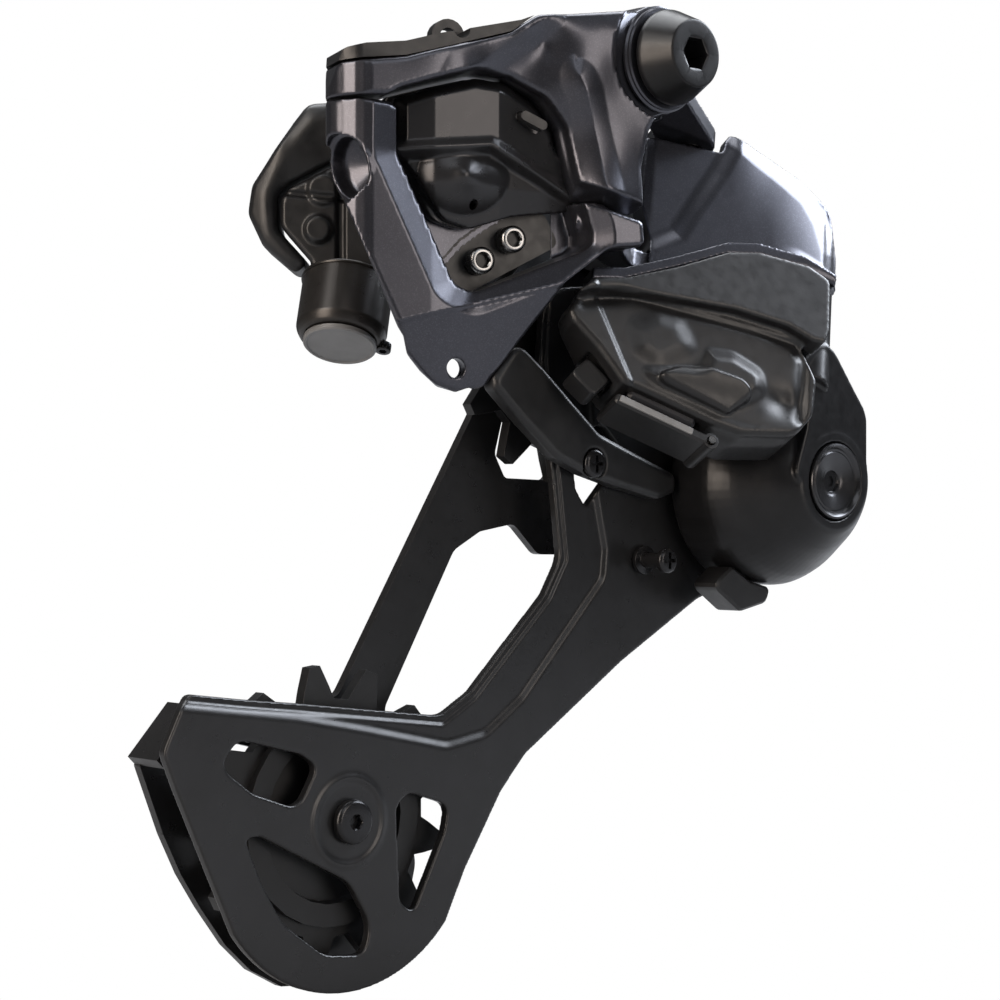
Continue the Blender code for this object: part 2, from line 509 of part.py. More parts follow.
def make_battery():
    """Housing under the outer link, the pack in it, the cover that closes it and its latch."""
    band = rounded([(-26.4, -17.0, 2), (-23.0, -12.4, 1), (-16.0, -10.3), (-5.0, -4.3), (5.5, 2.2),
                    (12.4, 4.2),
                    (23.5, 4.4), (28.6, 2.4, 2), (28.9, -14.0, 3), (19.3, -11.0, 4), (7.8, -10.6, 4),
                    (-9.0, -12.4, 4), (-23.0, -15.0, 3)])
    housing = soft_prism("battery_housing", LINK, band, 5.7, 12.0, 0.8)
    hull = rounded([(-27.6, -20.0, 3), (-23.5, -13.4, 3), (-13.0, -9.0, 3), (-5.0, -4.2, 3), (24.4, -4.2, 1),
                    (24.4, -14.0), (28.0, -20.0, 3), (27.6, -28.0, 4), (24.0, -33.6, 4), (12.0, -36.6, 3),
                    (5.6, -36.0, 1), (-14.0, -32.2, 1), (-20.0, -26.0, 2)])
    join(housing, soft_prism("hull", LINK, hull, -5.0, 9.4, 1.0))
    sector = rounded([(-9.0, -30.0, 2), (-3.0, -26.0, 3), (4.0, -24.6, 3), (11.0, -25.2, 3), (13.8, -28.2, 2),
                      (8.2, -33.6, 1)])
    join(housing, soft_prism("sector", LINK, sector, 4.2, 11.2, 0.7))
    cut(housing, rod("post_room", PLAN, 5.6, -60, 40, 22, (LINK_LENGTH, 0)))
    cut(housing, prism("pack_room", LINK, tilted_box(-7.9, 7.9, -6.0, 25.3), -3.0, 6.3))
    cut(housing, prism("inboard_room", HANGER, [(-60, -100), (-60, 0), (60, 0), (60, -100)], -40.0, 4.6))
    knuckle = [(-16.0, -16.0), (-16.4, 4.0), (-12.6, 12.0), (-14.6, 27.0), (-2.0, 34.0), (30.0, 30.0),
               (30.0, -16.0)]
    cut(housing, prism("knuckle_room", SIDE, knuckle, 0.0, 36.6))
    cut(housing, prism("latch_room", LINK, [(-24.4, -31.0), (-18.2, -35.4), (-13.7, -29.3), (-19.9, -24.9)],
                       -1.4, 5.4))
    finish(housing, "black_plastic", LINK_START)

    pack = soft_prism("battery_pack", LINK, tilted_box(-7.5, 7.5, -0.2, 24.9), -2.6, 5.9, 0.8)
    finish(pack, "battery_wrap", LINK_START)
    hinge_at = tilted_box(11.2, 11.2, -1.9, -1.9)[0]
    cover = soft_prism("battery_cover", LINK, tilted_box(-10.0, 10.4, -3.0, -0.7), -3.4, 6.8, 0.5)
    join(cover, rod("hinge", LINK, 1.6, -3.4, 6.8, 20, hinge_at))
    cut(cover, rod("hinge_hole", LINK, 0.95, -9, 9, 16, hinge_at))
    finish(cover, "black_plastic", LINK.at(*hinge_at))
    pin = rod("cover_pin", LINK, 0.75, -3.9, 7.4, 16, hinge_at)
    finish(pin, "bright_steel", LINK_START)
    outline = rounded([(-23.6, -30.8, 1), (-18.4, -34.5, 1), (-15.2, -30.2, 1), (-20.4, -26.5, 1)])
    latch = soft_prism("battery_latch", LINK, outline, -1.0, 5.0, 0.3)
    finish(latch, "dark_plastic", LINK_START)


def tilted_box(left, right, low, high):
    """A box along the pack, which leans with the housing's lower edge."""
    c, s = math.cos(PACK_TILT), math.sin(PACK_TILT)
    corners = ((left, low), (right, low), (right, high), (left, high))
    return [(PACK_CORNER[0] + a * c - b * s, PACK_CORNER[1] + a * s + b * c) for a, b in corners]


def make_inner_link():
    link = soft_prism("inner_link", PLAN, capsule(INNER_PIVOT, FAR_INNER, 4.4), 20.0, 30.0, 0.6)
    for center in (INNER_PIVOT, FAR_INNER):
        cut(link, rod("bore", PLAN, PIN_RADIUS + GAP, 0, 60, 16, center))
    finish(link, "black_alloy", PLAN.at(*INNER_PIVOT))


def make_pins():
    """Four hinge pins. Each has a head on the side it is driven in from."""
    def pin(name, center, low, high, head_low):
        profile = [(0, low), (PIN_RADIUS, low), (PIN_RADIUS, head_low), (3.4, head_low), (3.4, high),
                   (0, high)]
        finish(turned(name, PLAN, profile, 16, center), "bright_steel", PLAN.at(*center))

    pin("outer_pin_bracket", (0, 0), -3.0, 37.6, 36.3)
    pin("inner_pin_bracket", INNER_PIVOT, 19.4, 37.6, 36.3)
    for name, center, low, high in (("outer_pin_knuckle", (LINK_LENGTH, 0), -13.0, 20.0),
                                    ("inner_pin_knuckle", FAR_INNER, -3.0, 29.4)):
        finish(rod(name, PLAN, PIN_RADIUS, low, high, 16, center), "bright_steel", PLAN.at(*center))


# ---------------------------------------------------------------- cage knuckle

def make_knuckle():
    profile = [(0, 9.3), (21.4, 9.3), (22.0, 9.9), (22.0, 20.0), (20.0, 24.5), (14.2, 32.6), (11.0, 35.6),
               (10.2, 36.0), (0, 36.0)]
    body = turned("cage_knuckle", SIDE, profile, 36)
    tear = rounded([(-13.0, 0.0, 3), (-8.5, 12.0, 6), (-11.5, 24.5, 5), (-2.0, 29.5, 6), (4.0, 22.0, 6),
                    (10.4, 14.0, 6), (10.4, 2.0, 4), (6.0, -3.0)])
    join(body, prism("tear", SIDE, tear, 27.2, 35.9))
    shoulder = rounded([(-16.0, 6.0, 4), (-5.0, 20.5, 5), (3.0, 25.2, 5), (16.0, 25.0, 4), (24.5, 15.0, 4),
                        (21.0, 2.0, 4)])
    join(body, prism("shoulder", SIDE, shoulder, 11.0, 24.2))
    join(body, rod("outer_post", PLAN, 4.4, -16.5, 5.5, 20, (LINK_LENGTH, 0)))
    join(body, rod("inner_post", PLAN, 3.8, -9.0, 19.4, 20, FAR_INNER))
    hollow = [(0, 0), (14.5, 0), (14.5, 27.0), (6.0, 27.0), (6.0, 33.6), (8.3, 33.6), (8.3, 40.0), (0, 40.0)]
    cut(body, turned("hollow", SIDE, hollow, 28))
    cut(body, rod("outer_bore", PLAN, PIN_RADIUS + GAP, -13.3, 60, 16, (LINK_LENGTH, 0)))
    cut(body, rod("inner_bore", PLAN, PIN_RADIUS + GAP, -3.3, 60, 16, FAR_INNER))
    cut(body, prism("plate_room", SIDE, [(-60, -60), (-60, 20.5), (60, 20.5), (60, -60)], -30.0, 9.3))
    finish(body, "black_alloy", LINK.at(LINK_LENGTH, 0))

    outline = rounded([(-20.0, -21.6, 1.5), (-14.0, -17.7, 1), (-8.5, -20.9, 1), (-2.0, -22.5, 1),
                       (-3.2, -25.6, 2), (-11.5, -27.3, 2)])
    bumper = soft_prism("cage_bumper", SIDE, outline, 13.0, 20.0, 0.5)
    cut(bumper, rod("drum_room", SIDE, 22.0 + GAP, 0, 40, 36))
    finish(bumper, "black_plastic")

    cap = turned("pivot_cap", SIDE, [(0, 33.9), (8.0, 33.9), (8.0, 36.2), (7.5, 36.6), (6.9, 35.7),
                                     (2.6, 35.0), (2.3, 34.5), (0, 34.5)], 24)
    finish(cap, "black_steel")
    clutch = tube("clutch_roller", SIDE, 5.3, 14.0, 21.5, 26.7, 24)
    finish(clutch, "bright_steel")


def make_cage_spring():
    """Torsion spring round the cage axle."""
    turns, per_turn, wire, radius = 4, 14, 0.85, 10.4
    curve = bpy.data.curves.new("cage_spring", "CURVE")
    curve.dimensions = "3D"
    spline = curve.splines.new("POLY")
    count = turns * per_turn + 1
    spline.points.add(count - 1)
    for i in range(count):
        angle = math.tau * i / per_turn
        point = SIDE.at(radius * math.cos(angle), radius * math.sin(angle), 10.6 + 2.4 * i / per_turn)
        spline.points[i].co = (*point, 1.0)
    curve.bevel_depth = wire
    curve.bevel_resolution = 0
    curve.use_fill_caps = True
    source = bpy.data.objects.new("cage_spring_curve", curve)
    bpy.context.scene.collection.objects.link(source)
    mesh = bpy.data.meshes.new_from_object(source.evaluated_get(bpy.context.evaluated_depsgraph_get()))
    bpy.data.objects.remove(source)
    bm = bmesh.new()
    bm.from_mesh(mesh)
    bmesh.ops.remove_doubles(bm, verts=bm.verts, dist=0.01)
    bm.to_mesh(mesh)
    bm.free()
    spring = bpy.data.objects.new("cage_spring", mesh)
    bpy.context.scene.collection.objects.link(spring)
    finish(spring, "spring_steel")


# ---------------------------------------------------------------- cage

def make_plates():
    bottom = arc(32.0, 215.0, 318.0, 9)
    outline = rounded([(-36.6, 25.6, 2), (-41.6, 15.6, 3), (-38.8, 8.9)] + bottom +
                      [(28.6, -12.0, 6), (38.2, 2.6, 8), (44.6, 9.4, 6), (71.7, 26.7), (94.3, 38.9, 4),
                       (108.0, 43.5, 10), (123.0, 52.0, 12), (123.0, 70.0, 12), (112.0, 80.0, 10),
                       (97.0, 78.0, 8), (66.0, 104.0, 9), (50.0, 103.0, 10), (48.8, 88.0, 8), (52.4, 64.0, 6),
                       (54.4, 48.2, 6), (50.0, 41.0, 5), (30.2, 22.4, 6), (22.6, 18.2, 6), (-10.7, 22.4),
                       (-24.0, 23.9, 6)])
    plate = prism("outer_plate", CAGE, outline, *OUTER_PLATE)
    for corners in SLOTS + OUTER_WINDOWS:
        cut(plate, prism("slot", CAGE, rounded(corners), 0.0, 12.0))
    cut(plate, rod("axle_hole", CAGE, 5.0 + GAP, 0, 12, 20, PIVOT_IN_CAGE))
    cut(plate, rod("stop_hole", CAGE, 1.6 + GAP, 0, 12, 12, STOP_PIN_AT))
    cut(plate, rod("guard_hole", CAGE, 1.5 + GAP, 0, 12, 12, GUARD_SCREW_AT))
    for center in ((0, 0), GUIDE_IN_CAGE):
        cut(plate, rod("bolt_hole", CAGE, 2.4 + GAP, 0, 12, 16, center))
    finish(plate, "black_steel", CAGE_PIVOT)

    inner = rounded([(-38.4, 12.4, 1), (-33.3, -0.6, 6), (-29.4, -8.4), (-25.1, -15.0), (-19.5, -22.5),
                     (-13.8, -27.9), (-6.6, -31.9)] + arc(32.4, 262.0, 318.0, 5) +
                    [(26.5, -12.0, 6), (22.6, 10.0, 8), (18.4, 19.0, 3), (36.6, 50.0, 4), (43.6, 53.7, 3),
                     (52.8, 55.2, 3), (59.6, 48.8, 3), (70.0, 48.6, 6), (83.0, 56.0, 6), (85.0, 72.0, 8),
                     (78.0, 96.0, 12), (60.0, 107.0, 10), (47.0, 97.0, 10), (42.0, 78.0, 4), (7.2, 22.6, 4),
                     (-8.0, 17.0, 6), (-29.8, 21.6, 1)])
    plate = prism("inner_plate", CAGE, inner, *INNER_PLATE)
    tab = prism("tab", CAGE, [(-39.6, 13.8), (-38.0, 12.2), (-29.4, 21.6), (-31.0, 23.2)], -7.0, 2.4)
    join(plate, tab)
    for corners in SLOTS[:2] + INNER_WINDOWS:
        cut(plate, prism("slot", CAGE, rounded(corners), -12.0, 0.0))
    for center in ((0, 0), GUIDE_IN_CAGE):
        cut(plate, rod("bolt_hole", CAGE, 2.4 + GAP, -12, 0, 16, center))
    finish(plate, "black_steel", CAGE_PIVOT)


def make_cage_parts():
    outline = rounded([(31.4, 82.8, 2), (38.6, 91.4, 3), (46.0, 86.0, 3), (61.1, 73.6, 4), (69.0, 70.6, 3),
                       (83.2, 65.4, 1.5), (83.2, 61.6, 1.5), (78.0, 60.2, 3), (66.0, 62.8, 4),
                       (57.0, 65.2, 4), (49.0, 68.4, 4), (40.0, 75.4, 4)])
    guard = soft_prism("chain_guard", CAGE, outline, 7.8, 12.4, 0.9)
    cut(guard, rod("screw_hole", CAGE, 1.5 + GAP, 0, 20, 12, GUARD_SCREW_AT))
    cut(guard, rod("head_room", CAGE, 2.9 + GAP, 11.2, 20, 16, GUARD_SCREW_AT))
    finish(guard, "black_plastic", CAGE_PIVOT)

    cross_screw("guard_screw", GUARD_SCREW_AT, 1.5, 5.6, 11.5, 2.9, 13.0)
    cross_screw("stop_pin", STOP_PIN_AT, 1.6, 5.6, 14.2, 2.6, 15.8, washer=(3.0, 7.8, 8.8))

    profile = [(0, 3.9), (7.0, 3.9), (7.0, 5.2), (5.0, 5.2), (5.0, 7.8), (12.5, 7.8), (12.5, 9.0), (4.9, 9.0),
               (4.9, 33.2), (0, 33.2)]
    finish(turned("cage_axle", SIDE, profile, 24), "black_steel", CAGE_PIVOT)


def cross_screw(name, center, radius, low, neck, head_radius, top, washer=None):
    """A screw with a cross recess in its head."""
    profile = [(0, low), (radius, low)]
    if washer:
        size, start, end = washer
        profile += [(radius, start), (size, start), (size, end)]
    profile += [(radius, washer[2] if washer else neck - 0.1), (radius, neck), (head_radius, neck),
                (head_radius, top - 0.5), (head_radius - 0.5, top), (0, top)]
    screw = turned(name, CAGE, profile, 14, center)
    for wide, tall in ((1.7, 0.35), (0.35, 1.7)):
        x, y = center
        bar = [(x - wide, y - tall), (x + wide, y - tall), (x + wide, y + tall), (x - wide, y + tall)]
        cut(screw, prism("recess", CAGE, bar, top - 0.8, top + 2))
    finish(screw, "black_steel", CAGE_PIVOT)


# ---------------------------------------------------------------- pulleys

def tooth_outline(first_angle):
    """Teeth in turn a little wider and narrower at the tip, with round gaps between them."""
    points = []
    for i in range(TEETH):
        middle = first_angle + math.tau * i / TEETH
        tip = math.radians(3.6 if i % 2 else 3.0)
        for radius, turn in ((ROOT_RADIUS, -0.165), (ROOT_RADIUS + 2.2, -0.12), (TIP_RADIUS, -tip * 0.8),
                             (TIP_RADIUS, tip * 0.8), (ROOT_RADIUS + 2.2, 0.12), (ROOT_RADIUS, 0.165)):
            points.append((radius * math.cos(middle + turn), radius * math.sin(middle + turn)))
    return points


def make_pulley(prefix, center, first_angle):
    place = Frame(center, (1, 0, 0), (0, 0, 1))
    middle = 0.25
    half = TOOTH_THICKNESS / 2
    pulley = prism(prefix + "_pulley", place, tooth_outline(first_angle), middle - half, middle + half)
    profile = [(4.4, -3.4), (7.2, -3.4), (8.0, -1.2), (15.6, -0.7), (16.0, -2.6), (20.4, -2.6),
               (20.4, 3.1), (16.0, 3.1), (15.6, 1.2), (8.0, 1.7), (7.2, 3.9), (4.4, 3.9)]
    body = turned("body", place, profile, 26)
    cut(pulley, rod("center", place, 18.0, -5, 5, 26))
    join(pulley, body)
    finish(pulley, "black_plastic", center)

    finish(tube(prefix + "_bushing", place, 2.4 + GAP, 4.1, -4.7, 5.2, 18), "bright_steel", center)
    finish(tube(prefix + "_cap_outer", place, 4.4, 8.6, 4.1, 5.2, 20), "black_steel", center)
    finish(tube(prefix + "_cap_inner", place, 4.4, 8.6, -4.7, -3.6, 20), "black_steel", center)

    profile = [(0, -8.2), (2.4, -8.2), (2.4, 7.8), (4.25, 7.8), (4.25, 9.0), (3.7, 9.6), (0, 9.6)]
    bolt = turned(prefix + "_bolt", place, profile, 20)
    cut(bolt, prism("socket", place, hexagon(2.5), 8.2, 11.0))
    finish(bolt, "black_steel", center)


def main():
    for obj in list(bpy.data.objects):
        bpy.data.objects.remove(obj)
    make_hanger_bolt()
    make_upper_bracket()
    make_lower_bracket()
    make_bracket_trim()
    make_drive()
    make_outer_link()
    make_battery()
    make_inner_link()
    make_pins()
    make_knuckle()
    make_cage_spring()
    make_plates()
    make_cage_parts()
    make_pulley("guide", GUIDE, math.radians(210.0))
    make_pulley("tension", TENSION, math.radians(124.7))


main()
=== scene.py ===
"""The looks of the electric rear derailleur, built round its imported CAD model.

Lengths are millimetres in the local frames below, and become metres when a mesh is written. The local
frames are those of the model: BRACKET lies in the bracket's outboard face, LINK in the outer link's, and
SIDE and CAGE are square to the axles. Relief is pressed along the viewing axis, so outlines stay put.
"""
import json
import math

import bmesh
import bpy
import numpy as np
from mathutils import Matrix, Vector
from mathutils.geometry import delaunay_2d_cdt

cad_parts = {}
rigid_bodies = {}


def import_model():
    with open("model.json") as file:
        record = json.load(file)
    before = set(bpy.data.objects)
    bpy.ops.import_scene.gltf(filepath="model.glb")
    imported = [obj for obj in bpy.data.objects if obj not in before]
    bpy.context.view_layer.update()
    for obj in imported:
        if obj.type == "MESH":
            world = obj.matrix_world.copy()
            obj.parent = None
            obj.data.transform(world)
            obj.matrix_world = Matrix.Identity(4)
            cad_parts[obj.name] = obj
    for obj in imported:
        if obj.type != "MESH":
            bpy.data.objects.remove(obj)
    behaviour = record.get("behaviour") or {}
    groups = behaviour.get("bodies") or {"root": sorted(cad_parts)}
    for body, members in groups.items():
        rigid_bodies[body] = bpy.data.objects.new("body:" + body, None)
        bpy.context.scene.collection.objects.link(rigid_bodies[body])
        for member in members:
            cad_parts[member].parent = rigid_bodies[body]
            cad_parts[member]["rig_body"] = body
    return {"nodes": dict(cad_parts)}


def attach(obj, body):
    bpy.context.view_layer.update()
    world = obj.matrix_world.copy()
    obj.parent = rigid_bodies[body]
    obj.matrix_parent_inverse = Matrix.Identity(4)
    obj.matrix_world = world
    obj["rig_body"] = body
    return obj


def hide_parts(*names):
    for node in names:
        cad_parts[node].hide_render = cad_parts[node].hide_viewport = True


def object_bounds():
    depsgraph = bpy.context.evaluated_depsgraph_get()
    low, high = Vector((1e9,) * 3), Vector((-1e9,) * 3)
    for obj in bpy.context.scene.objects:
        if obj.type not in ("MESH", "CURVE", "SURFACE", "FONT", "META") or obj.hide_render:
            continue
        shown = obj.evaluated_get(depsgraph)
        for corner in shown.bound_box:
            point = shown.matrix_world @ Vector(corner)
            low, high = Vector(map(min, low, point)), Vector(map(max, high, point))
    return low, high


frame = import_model()
cad_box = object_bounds()
NODES = frame["nodes"]
MM = 0.001
UP = Vector((0, 0, 1))
SIDES = 72                      # of a turned piece
FILLET_STEPS = 6                # in each rounded corner of an outline
CAP_STEPS = 12                  # in each round end of a slot
FAIR_IN, FAIR_OUT = 0.5, -0.53  # the two steps of smoothing that keeps the volume
SMOOTH_ANGLE = 32.0             # degrees, above which an edge stays sharp
DONE = set()                    # the CAD nodes that a better shape stands for

# ---------------------------------------------------------------- local frames


class Frame:
    """A right-handed local frame in millimetres: u and v along the surface, w out of it."""

    def __init__(self, origin, u, v):
        self.origin = Vector(origin)
        self.u = Vector(u).normalized()
        self.v = Vector(v)
        self.v = (self.v - self.v.dot(self.u) * self.u).normalized()
        self.w = self.u.cross(self.v)

    def at(self, u, v, w=0.0):
        """The point in metres."""
        return (self.origin + u * self.u + v * self.v + w * self.w) * MM

    def local(self, points):
        """Rows of points in metres, as rows of u, v, w."""
        axes = np.array([self.u, self.v, self.w])
        return (points / MM - np.array(self.origin)) @ axes.T


PIVOT_DIR = Vector((0.359, 0.259, 0.897)).normalized()
LINK_START = Vector((14.1, -8.0, -42.6))
LINK_SPAN = Vector((26.48, -12.34, -7.03))
LINK_LENGTH = LINK_SPAN.length
PACK_CORNER = (-4.3, -34.6)
PACK_TILT = math.radians(-11.5)
TENSION = Vector((-65.0, 9.0, -148.0))
GUIDE = Vector((-4.0, 9.0, -55.4))
CAGE_PIVOT = Vector((41.0, 9.0, -84.0))
SIDE = Frame(CAGE_PIVOT, (1, 0, 0), (0, 0, 1))
CAGE = Frame(TENSION, (1, 0, 0), (0, 0, 1))
HANGER = Frame((0, 0, 0), (1, 0, 0), (0, 0, 1))
BRACKET = Frame((0, -21, 0), (0.938, -0.346, 0), (0, 0, 1))
B_SCREW = Frame((-23.5, -5.0, 0.5), (0, 1, 0), (0.63, 0, 0.77))
LINK = Frame(LINK_START, LINK_SPAN, PIVOT_DIR)
PLAN = Frame(LINK_START, LINK.u, LINK.w * -1.0)
MOTOR = Frame((-42.6, 30.7, -46.1), (0.74, -0.667, -0.103), (-0.57, -0.70, 0.43))
REAR = Frame((-40.0, 12.0, -30.0), (0.74, -0.667, 0.0), (0, 0, 1))
CAMERA_PLACE = Vector((-344.5, -350.9, -87.9))
CAMERA_RIGHT = Vector((0.743145, -0.669131, 0.0))
TO_CAMERA = CAMERA_RIGHT.cross(UP)
LENS, SENSOR = 86.4, 36.0
LIT_MIDDLE = Vector((-0.01, 0.01, -0.09))       # metres: the point that every light faces


# ---------------------------------------------------------------- outlines

def arc(radius, first, last, steps, center=(0.0, 0.0)):
    turns = [math.radians(first + (last - first) * i / steps) for i in range(steps + 1)]
    return [(center[0] + radius * math.cos(a), center[1] + radius * math.sin(a)) for a in turns]


def circle(radius, center=(0.0, 0.0), sides=SIDES):
    return arc(radius, 0.0, 360.0, sides, center)[:-1]


def rounded(corners):
    """Fillet a closed outline. A corner is (u, v) or (u, v, radius)."""
    out = []
    count = len(corners)
    for i, corner in enumerate(corners):
        here = Vector(corner[:2])
        radius = corner[2] if len(corner) > 2 else 0.0
        if radius <= 0.0:
            out.append(tuple(here))
            continue
        before = Vector(corners[i - 1][:2]) - here
        after = Vector(corners[(i + 1) % count][:2]) - here
        half = before.angle(after) / 2.0
        reach = min(radius / math.tan(half), 0.48 * before.length, 0.48 * after.length)
        start = here + before.normalized() * reach
        end = here + after.normalized() * reach
        for step in range(FILLET_STEPS + 1):
            t = step / FILLET_STEPS
            point = (1 - t) ** 2 * start + 2 * t * (1 - t) * here + t * t * end
            out.append(tuple(point))
    return out


def capsule(start, end, radius):
    a, b = Vector(start), Vector(end)
    angle = math.degrees(math.atan2(b.y - a.y, b.x - a.x))
    far = arc(radius, angle - 90, angle + 90, CAP_STEPS, b)
    return far + arc(radius, angle + 90, angle + 270, CAP_STEPS, a)


# ---------------------------------------------------------------- meshes

def add_object(name, bm):
    bmesh.ops.recalc_face_normals(bm, faces=bm.faces)
    mesh = bpy.data.meshes.new(name)
    bm.to_mesh(mesh)
    bm.free()
    obj = bpy.data.objects.new(name, mesh)
    bpy.context.scene.collection.objects.link(obj)
    return obj


def prism(place, outline, low, high):
    bm = bmesh.new()
    rings = [[bm.verts.new(place.at(u, v, w)) for u, v in outline] for w in (low, high)]
    bm.faces.new(rings[0])
    bm.faces.new(rings[1])
    count = len(outline)
    for i in range(count):
        j = (i + 1) % count
        bm.faces.new((rings[0][i], rings[0][j], rings[1][j], rings[1][i]))
    return add_object("prism", bm)


def lathe(place, profile, center=(0.0, 0.0), sides=SIDES):
    """Spin a profile of (radius, w) about w. It is closed if it starts off the axis.

    A ring given as (radius, w, "hex") is a hexagon with that radius inside its flats.
    """
    bm = bmesh.new()
    rings = []
    for radius, w, *hexagonal in profile:
        if radius <= 0.0:
            rings.append([bm.verts.new(place.at(center[0], center[1], w))])
            continue
        ring = circle(radius, (0.0, 0.0), sides)
        if hexagonal:
            corner = math.pi / 3
            turns = [math.tau * i / sides % corner - corner / 2 for i in range(sides)]
            ring = [(u / math.cos(t), v / math.cos(t)) for (u, v), t in zip(ring, turns)]
        rings.append([bm.verts.new(place.at(center[0] + u, center[1] + v, w)) for u, v in ring])
    pairs = list(zip(rings, rings[1:]))
    if profile[0][0] > 0.0:
        pairs.append((rings[-1], rings[0]))
    for one, two in pairs:
        for i in range(sides):
            j = (i + 1) % sides
            if len(one) == 1 and len(two) == 1:
                continue
            if len(one) == 1:
                bm.faces.new((one[0], two[i], two[j]))
            elif len(two) == 1:
                bm.faces.new((one[i], one[j], two[0]))
            else:
                bm.faces.new((one[i], one[j], two[j], two[i]))
    return add_object("lathe", bm)


def soft_profile(corners, radius):
    """A turned profile with its corners off the axis rounded."""
    out = [corners[0]]
    for before, here, after in zip(corners, corners[1:], corners[2:]):
        a, b, c = Vector(before), Vector(here), Vector(after)
        reach = min(radius, 0.45 * (a - b).length, 0.45 * (c - b).length)
        start, end = b + (a - b).normalized() * reach, b + (c - b).normalized() * reach
        for t in (0.0, 0.5, 1.0):
            out.append(tuple((1 - t) ** 2 * start + 2 * t * (1 - t) * b + t * t * end))
    out.append(corners[-1])
    return out


def rod(place, radius, low, high, center=(0.0, 0.0), sides=SIDES):
    return lathe(place, [(0, low), (radius, low), (radius, high), (0, high)], center, sides)


def hexagon(place, across, low, high, center=(0.0, 0.0)):
    return prism(place, circle(across / math.sqrt(3.0), center, 6), low, high)


def bake(obj):
    """Apply the object's modifiers."""
    graph = bpy.context.evaluated_depsgraph_get()
    mesh = bpy.data.meshes.new_from_object(obj.evaluated_get(graph))
    obj.modifiers.clear()
    obj.data = mesh
    return obj


def combine(target, operation, tools):
    for tool in tools:
        modifier = target.modifiers.new("combine", "BOOLEAN")
        modifier.operation = operation
        modifier.solver = "EXACT"
        modifier.object = tool
        bake(target)
        bpy.data.objects.remove(tool)
    return target


def cut(target, *tools):
    return combine(target, "DIFFERENCE", tools)


def join(target, *tools):
    return combine(target, "UNION", tools)


def bevel(obj, width, segments=3, angle=30.0):
    modifier = obj.modifiers.new("bevel", "BEVEL")
    modifier.width = width * MM
    modifier.segments = segments
    modifier.limit_method = "ANGLE"
    modifier.angle_limit = math.radians(angle)
    modifier.use_clamp_overlap = True
    return bake(obj)


def copy_of(node):
    """A free copy of a CAD node's mesh."""
    mesh = NODES[node].data.copy()
    mesh.materials.clear()
    obj = bpy.data.objects.new("copy", mesh)
    bpy.context.scene.collection.objects.link(obj)
    bm = bmesh.new()
    bm.from_mesh(mesh)
    bmesh.ops.remove_doubles(bm, verts=bm.verts, dist=1e-6)
    bm.to_mesh(mesh)
    bm.free()
    for name in [a.name for a in mesh.attributes if a.name.startswith("custom")]:
        mesh.attributes.remove(mesh.attributes[name])
    return obj


def points_of(obj):
    points = np.zeros(len(obj.data.vertices) * 3)
    obj.data.vertices.foreach_get("co", points)
    return points.reshape(-1, 3)


def set_points(obj, points):
    obj.data.vertices.foreach_set("co", points.reshape(-1))
    obj.data.update()


def even_out(obj, passes):
    """Laplacian smoothing that keeps the volume (Taubin's two-step form)."""
    edges = np.zeros(len(obj.data.edges) * 2, np.int64)
    obj.data.edges.foreach_get("vertices", edges)
    a, b = edges.reshape(-1, 2).T
    points = points_of(obj)
    count = np.bincount(a, minlength=len(points)) + np.bincount(b, minlength=len(points))
    for step in range(passes * 2):
        total = np.zeros_like(points)
        for axis in range(3):
            total[:, axis] = (np.bincount(a, points[b, axis], len(points))
                              + np.bincount(b, points[a, axis], len(points)))
        move = total / np.maximum(count, 1)[:, None] - points
        points += move * (FAIR_IN if step % 2 == 0 else FAIR_OUT)
    set_points(obj, points)
    return obj


def cast(obj, voxel, passes):
    """Turn a faceted solid into one even skin with soft edges, as a casting or a moulding has."""
    modifier = obj.modifiers.new("remesh", "REMESH")
    modifier.mode = "VOXEL"
    modifier.voxel_size = voxel * MM
    bake(obj)
    return even_out(obj, passes)


def heights(place, obj):
    """The object's vertices in a local frame, as u, v, w."""
    return place.local(points_of(obj)).T


def soft_step(x, start, end):
    t = np.clip((x - start) / (end - start), 0.0, 1.0)
    return t * t * (3 - 2 * t)


def to_line(u, v, line):
    """Distance to a line of points."""
    best = np.full(u.shape, 1e9)
    for (x, y), end in zip(line, line[1:]):
        dx, dy = end[0] - x, end[1] - y
        t = np.clip(((u - x) * dx + (v - y) * dy) / (dx * dx + dy * dy), 0, 1)
        best = np.minimum(best, np.hypot(u - x - t * dx, v - y - t * dy))
    return best


def inside(u, v, outline):
    """Signed distance into a closed outline: positive inside."""
    closed = list(outline) + [outline[0]]
    gap = to_line(u, v, closed)
    odd = np.zeros(u.shape, bool)
    for (x0, y0), (x1, y1) in zip(closed, closed[1:]):
        if y0 == y1:
            continue
        crosses = ((y0 > v) != (y1 > v)) & (u < (x1 - x0) * (v - y0) / (y1 - y0) + x0)
        odd ^= crosses
    return np.where(odd, gap, -gap)


def surface_between(u, v, corners):
    """Height over u, v of a faceted surface through corners (u, v, height), flat beyond its rim."""
    flat = [Vector(c[:2]) for c in corners]
    _, _, faces, _, _, _ = delaunay_2d_cdt(flat, [], [], 0, 1e-6)
    out = np.zeros(u.shape)
    filled = np.zeros(u.shape, bool)
    for f in faces:
        (x0, y0, h0), (x1, y1, h1), (x2, y2, h2) = (corners[i] for i in f)
        area = (x1 - x0) * (y2 - y0) - (x2 - x0) * (y1 - y0)
        if abs(area) < 1e-9:
            continue
        a = ((x1 - u) * (y2 - v) - (x2 - u) * (y1 - v)) / area
        b = ((x2 - u) * (y0 - v) - (x0 - u) * (y2 - v)) / area
        c = 1.0 - a - b
        here = (a >= -1e-6) & (b >= -1e-6) & (c >= -1e-6) & ~filled
        out = np.where(here, a * h0 + b * h1 + c * h2, out)
        filled |= here
    return out


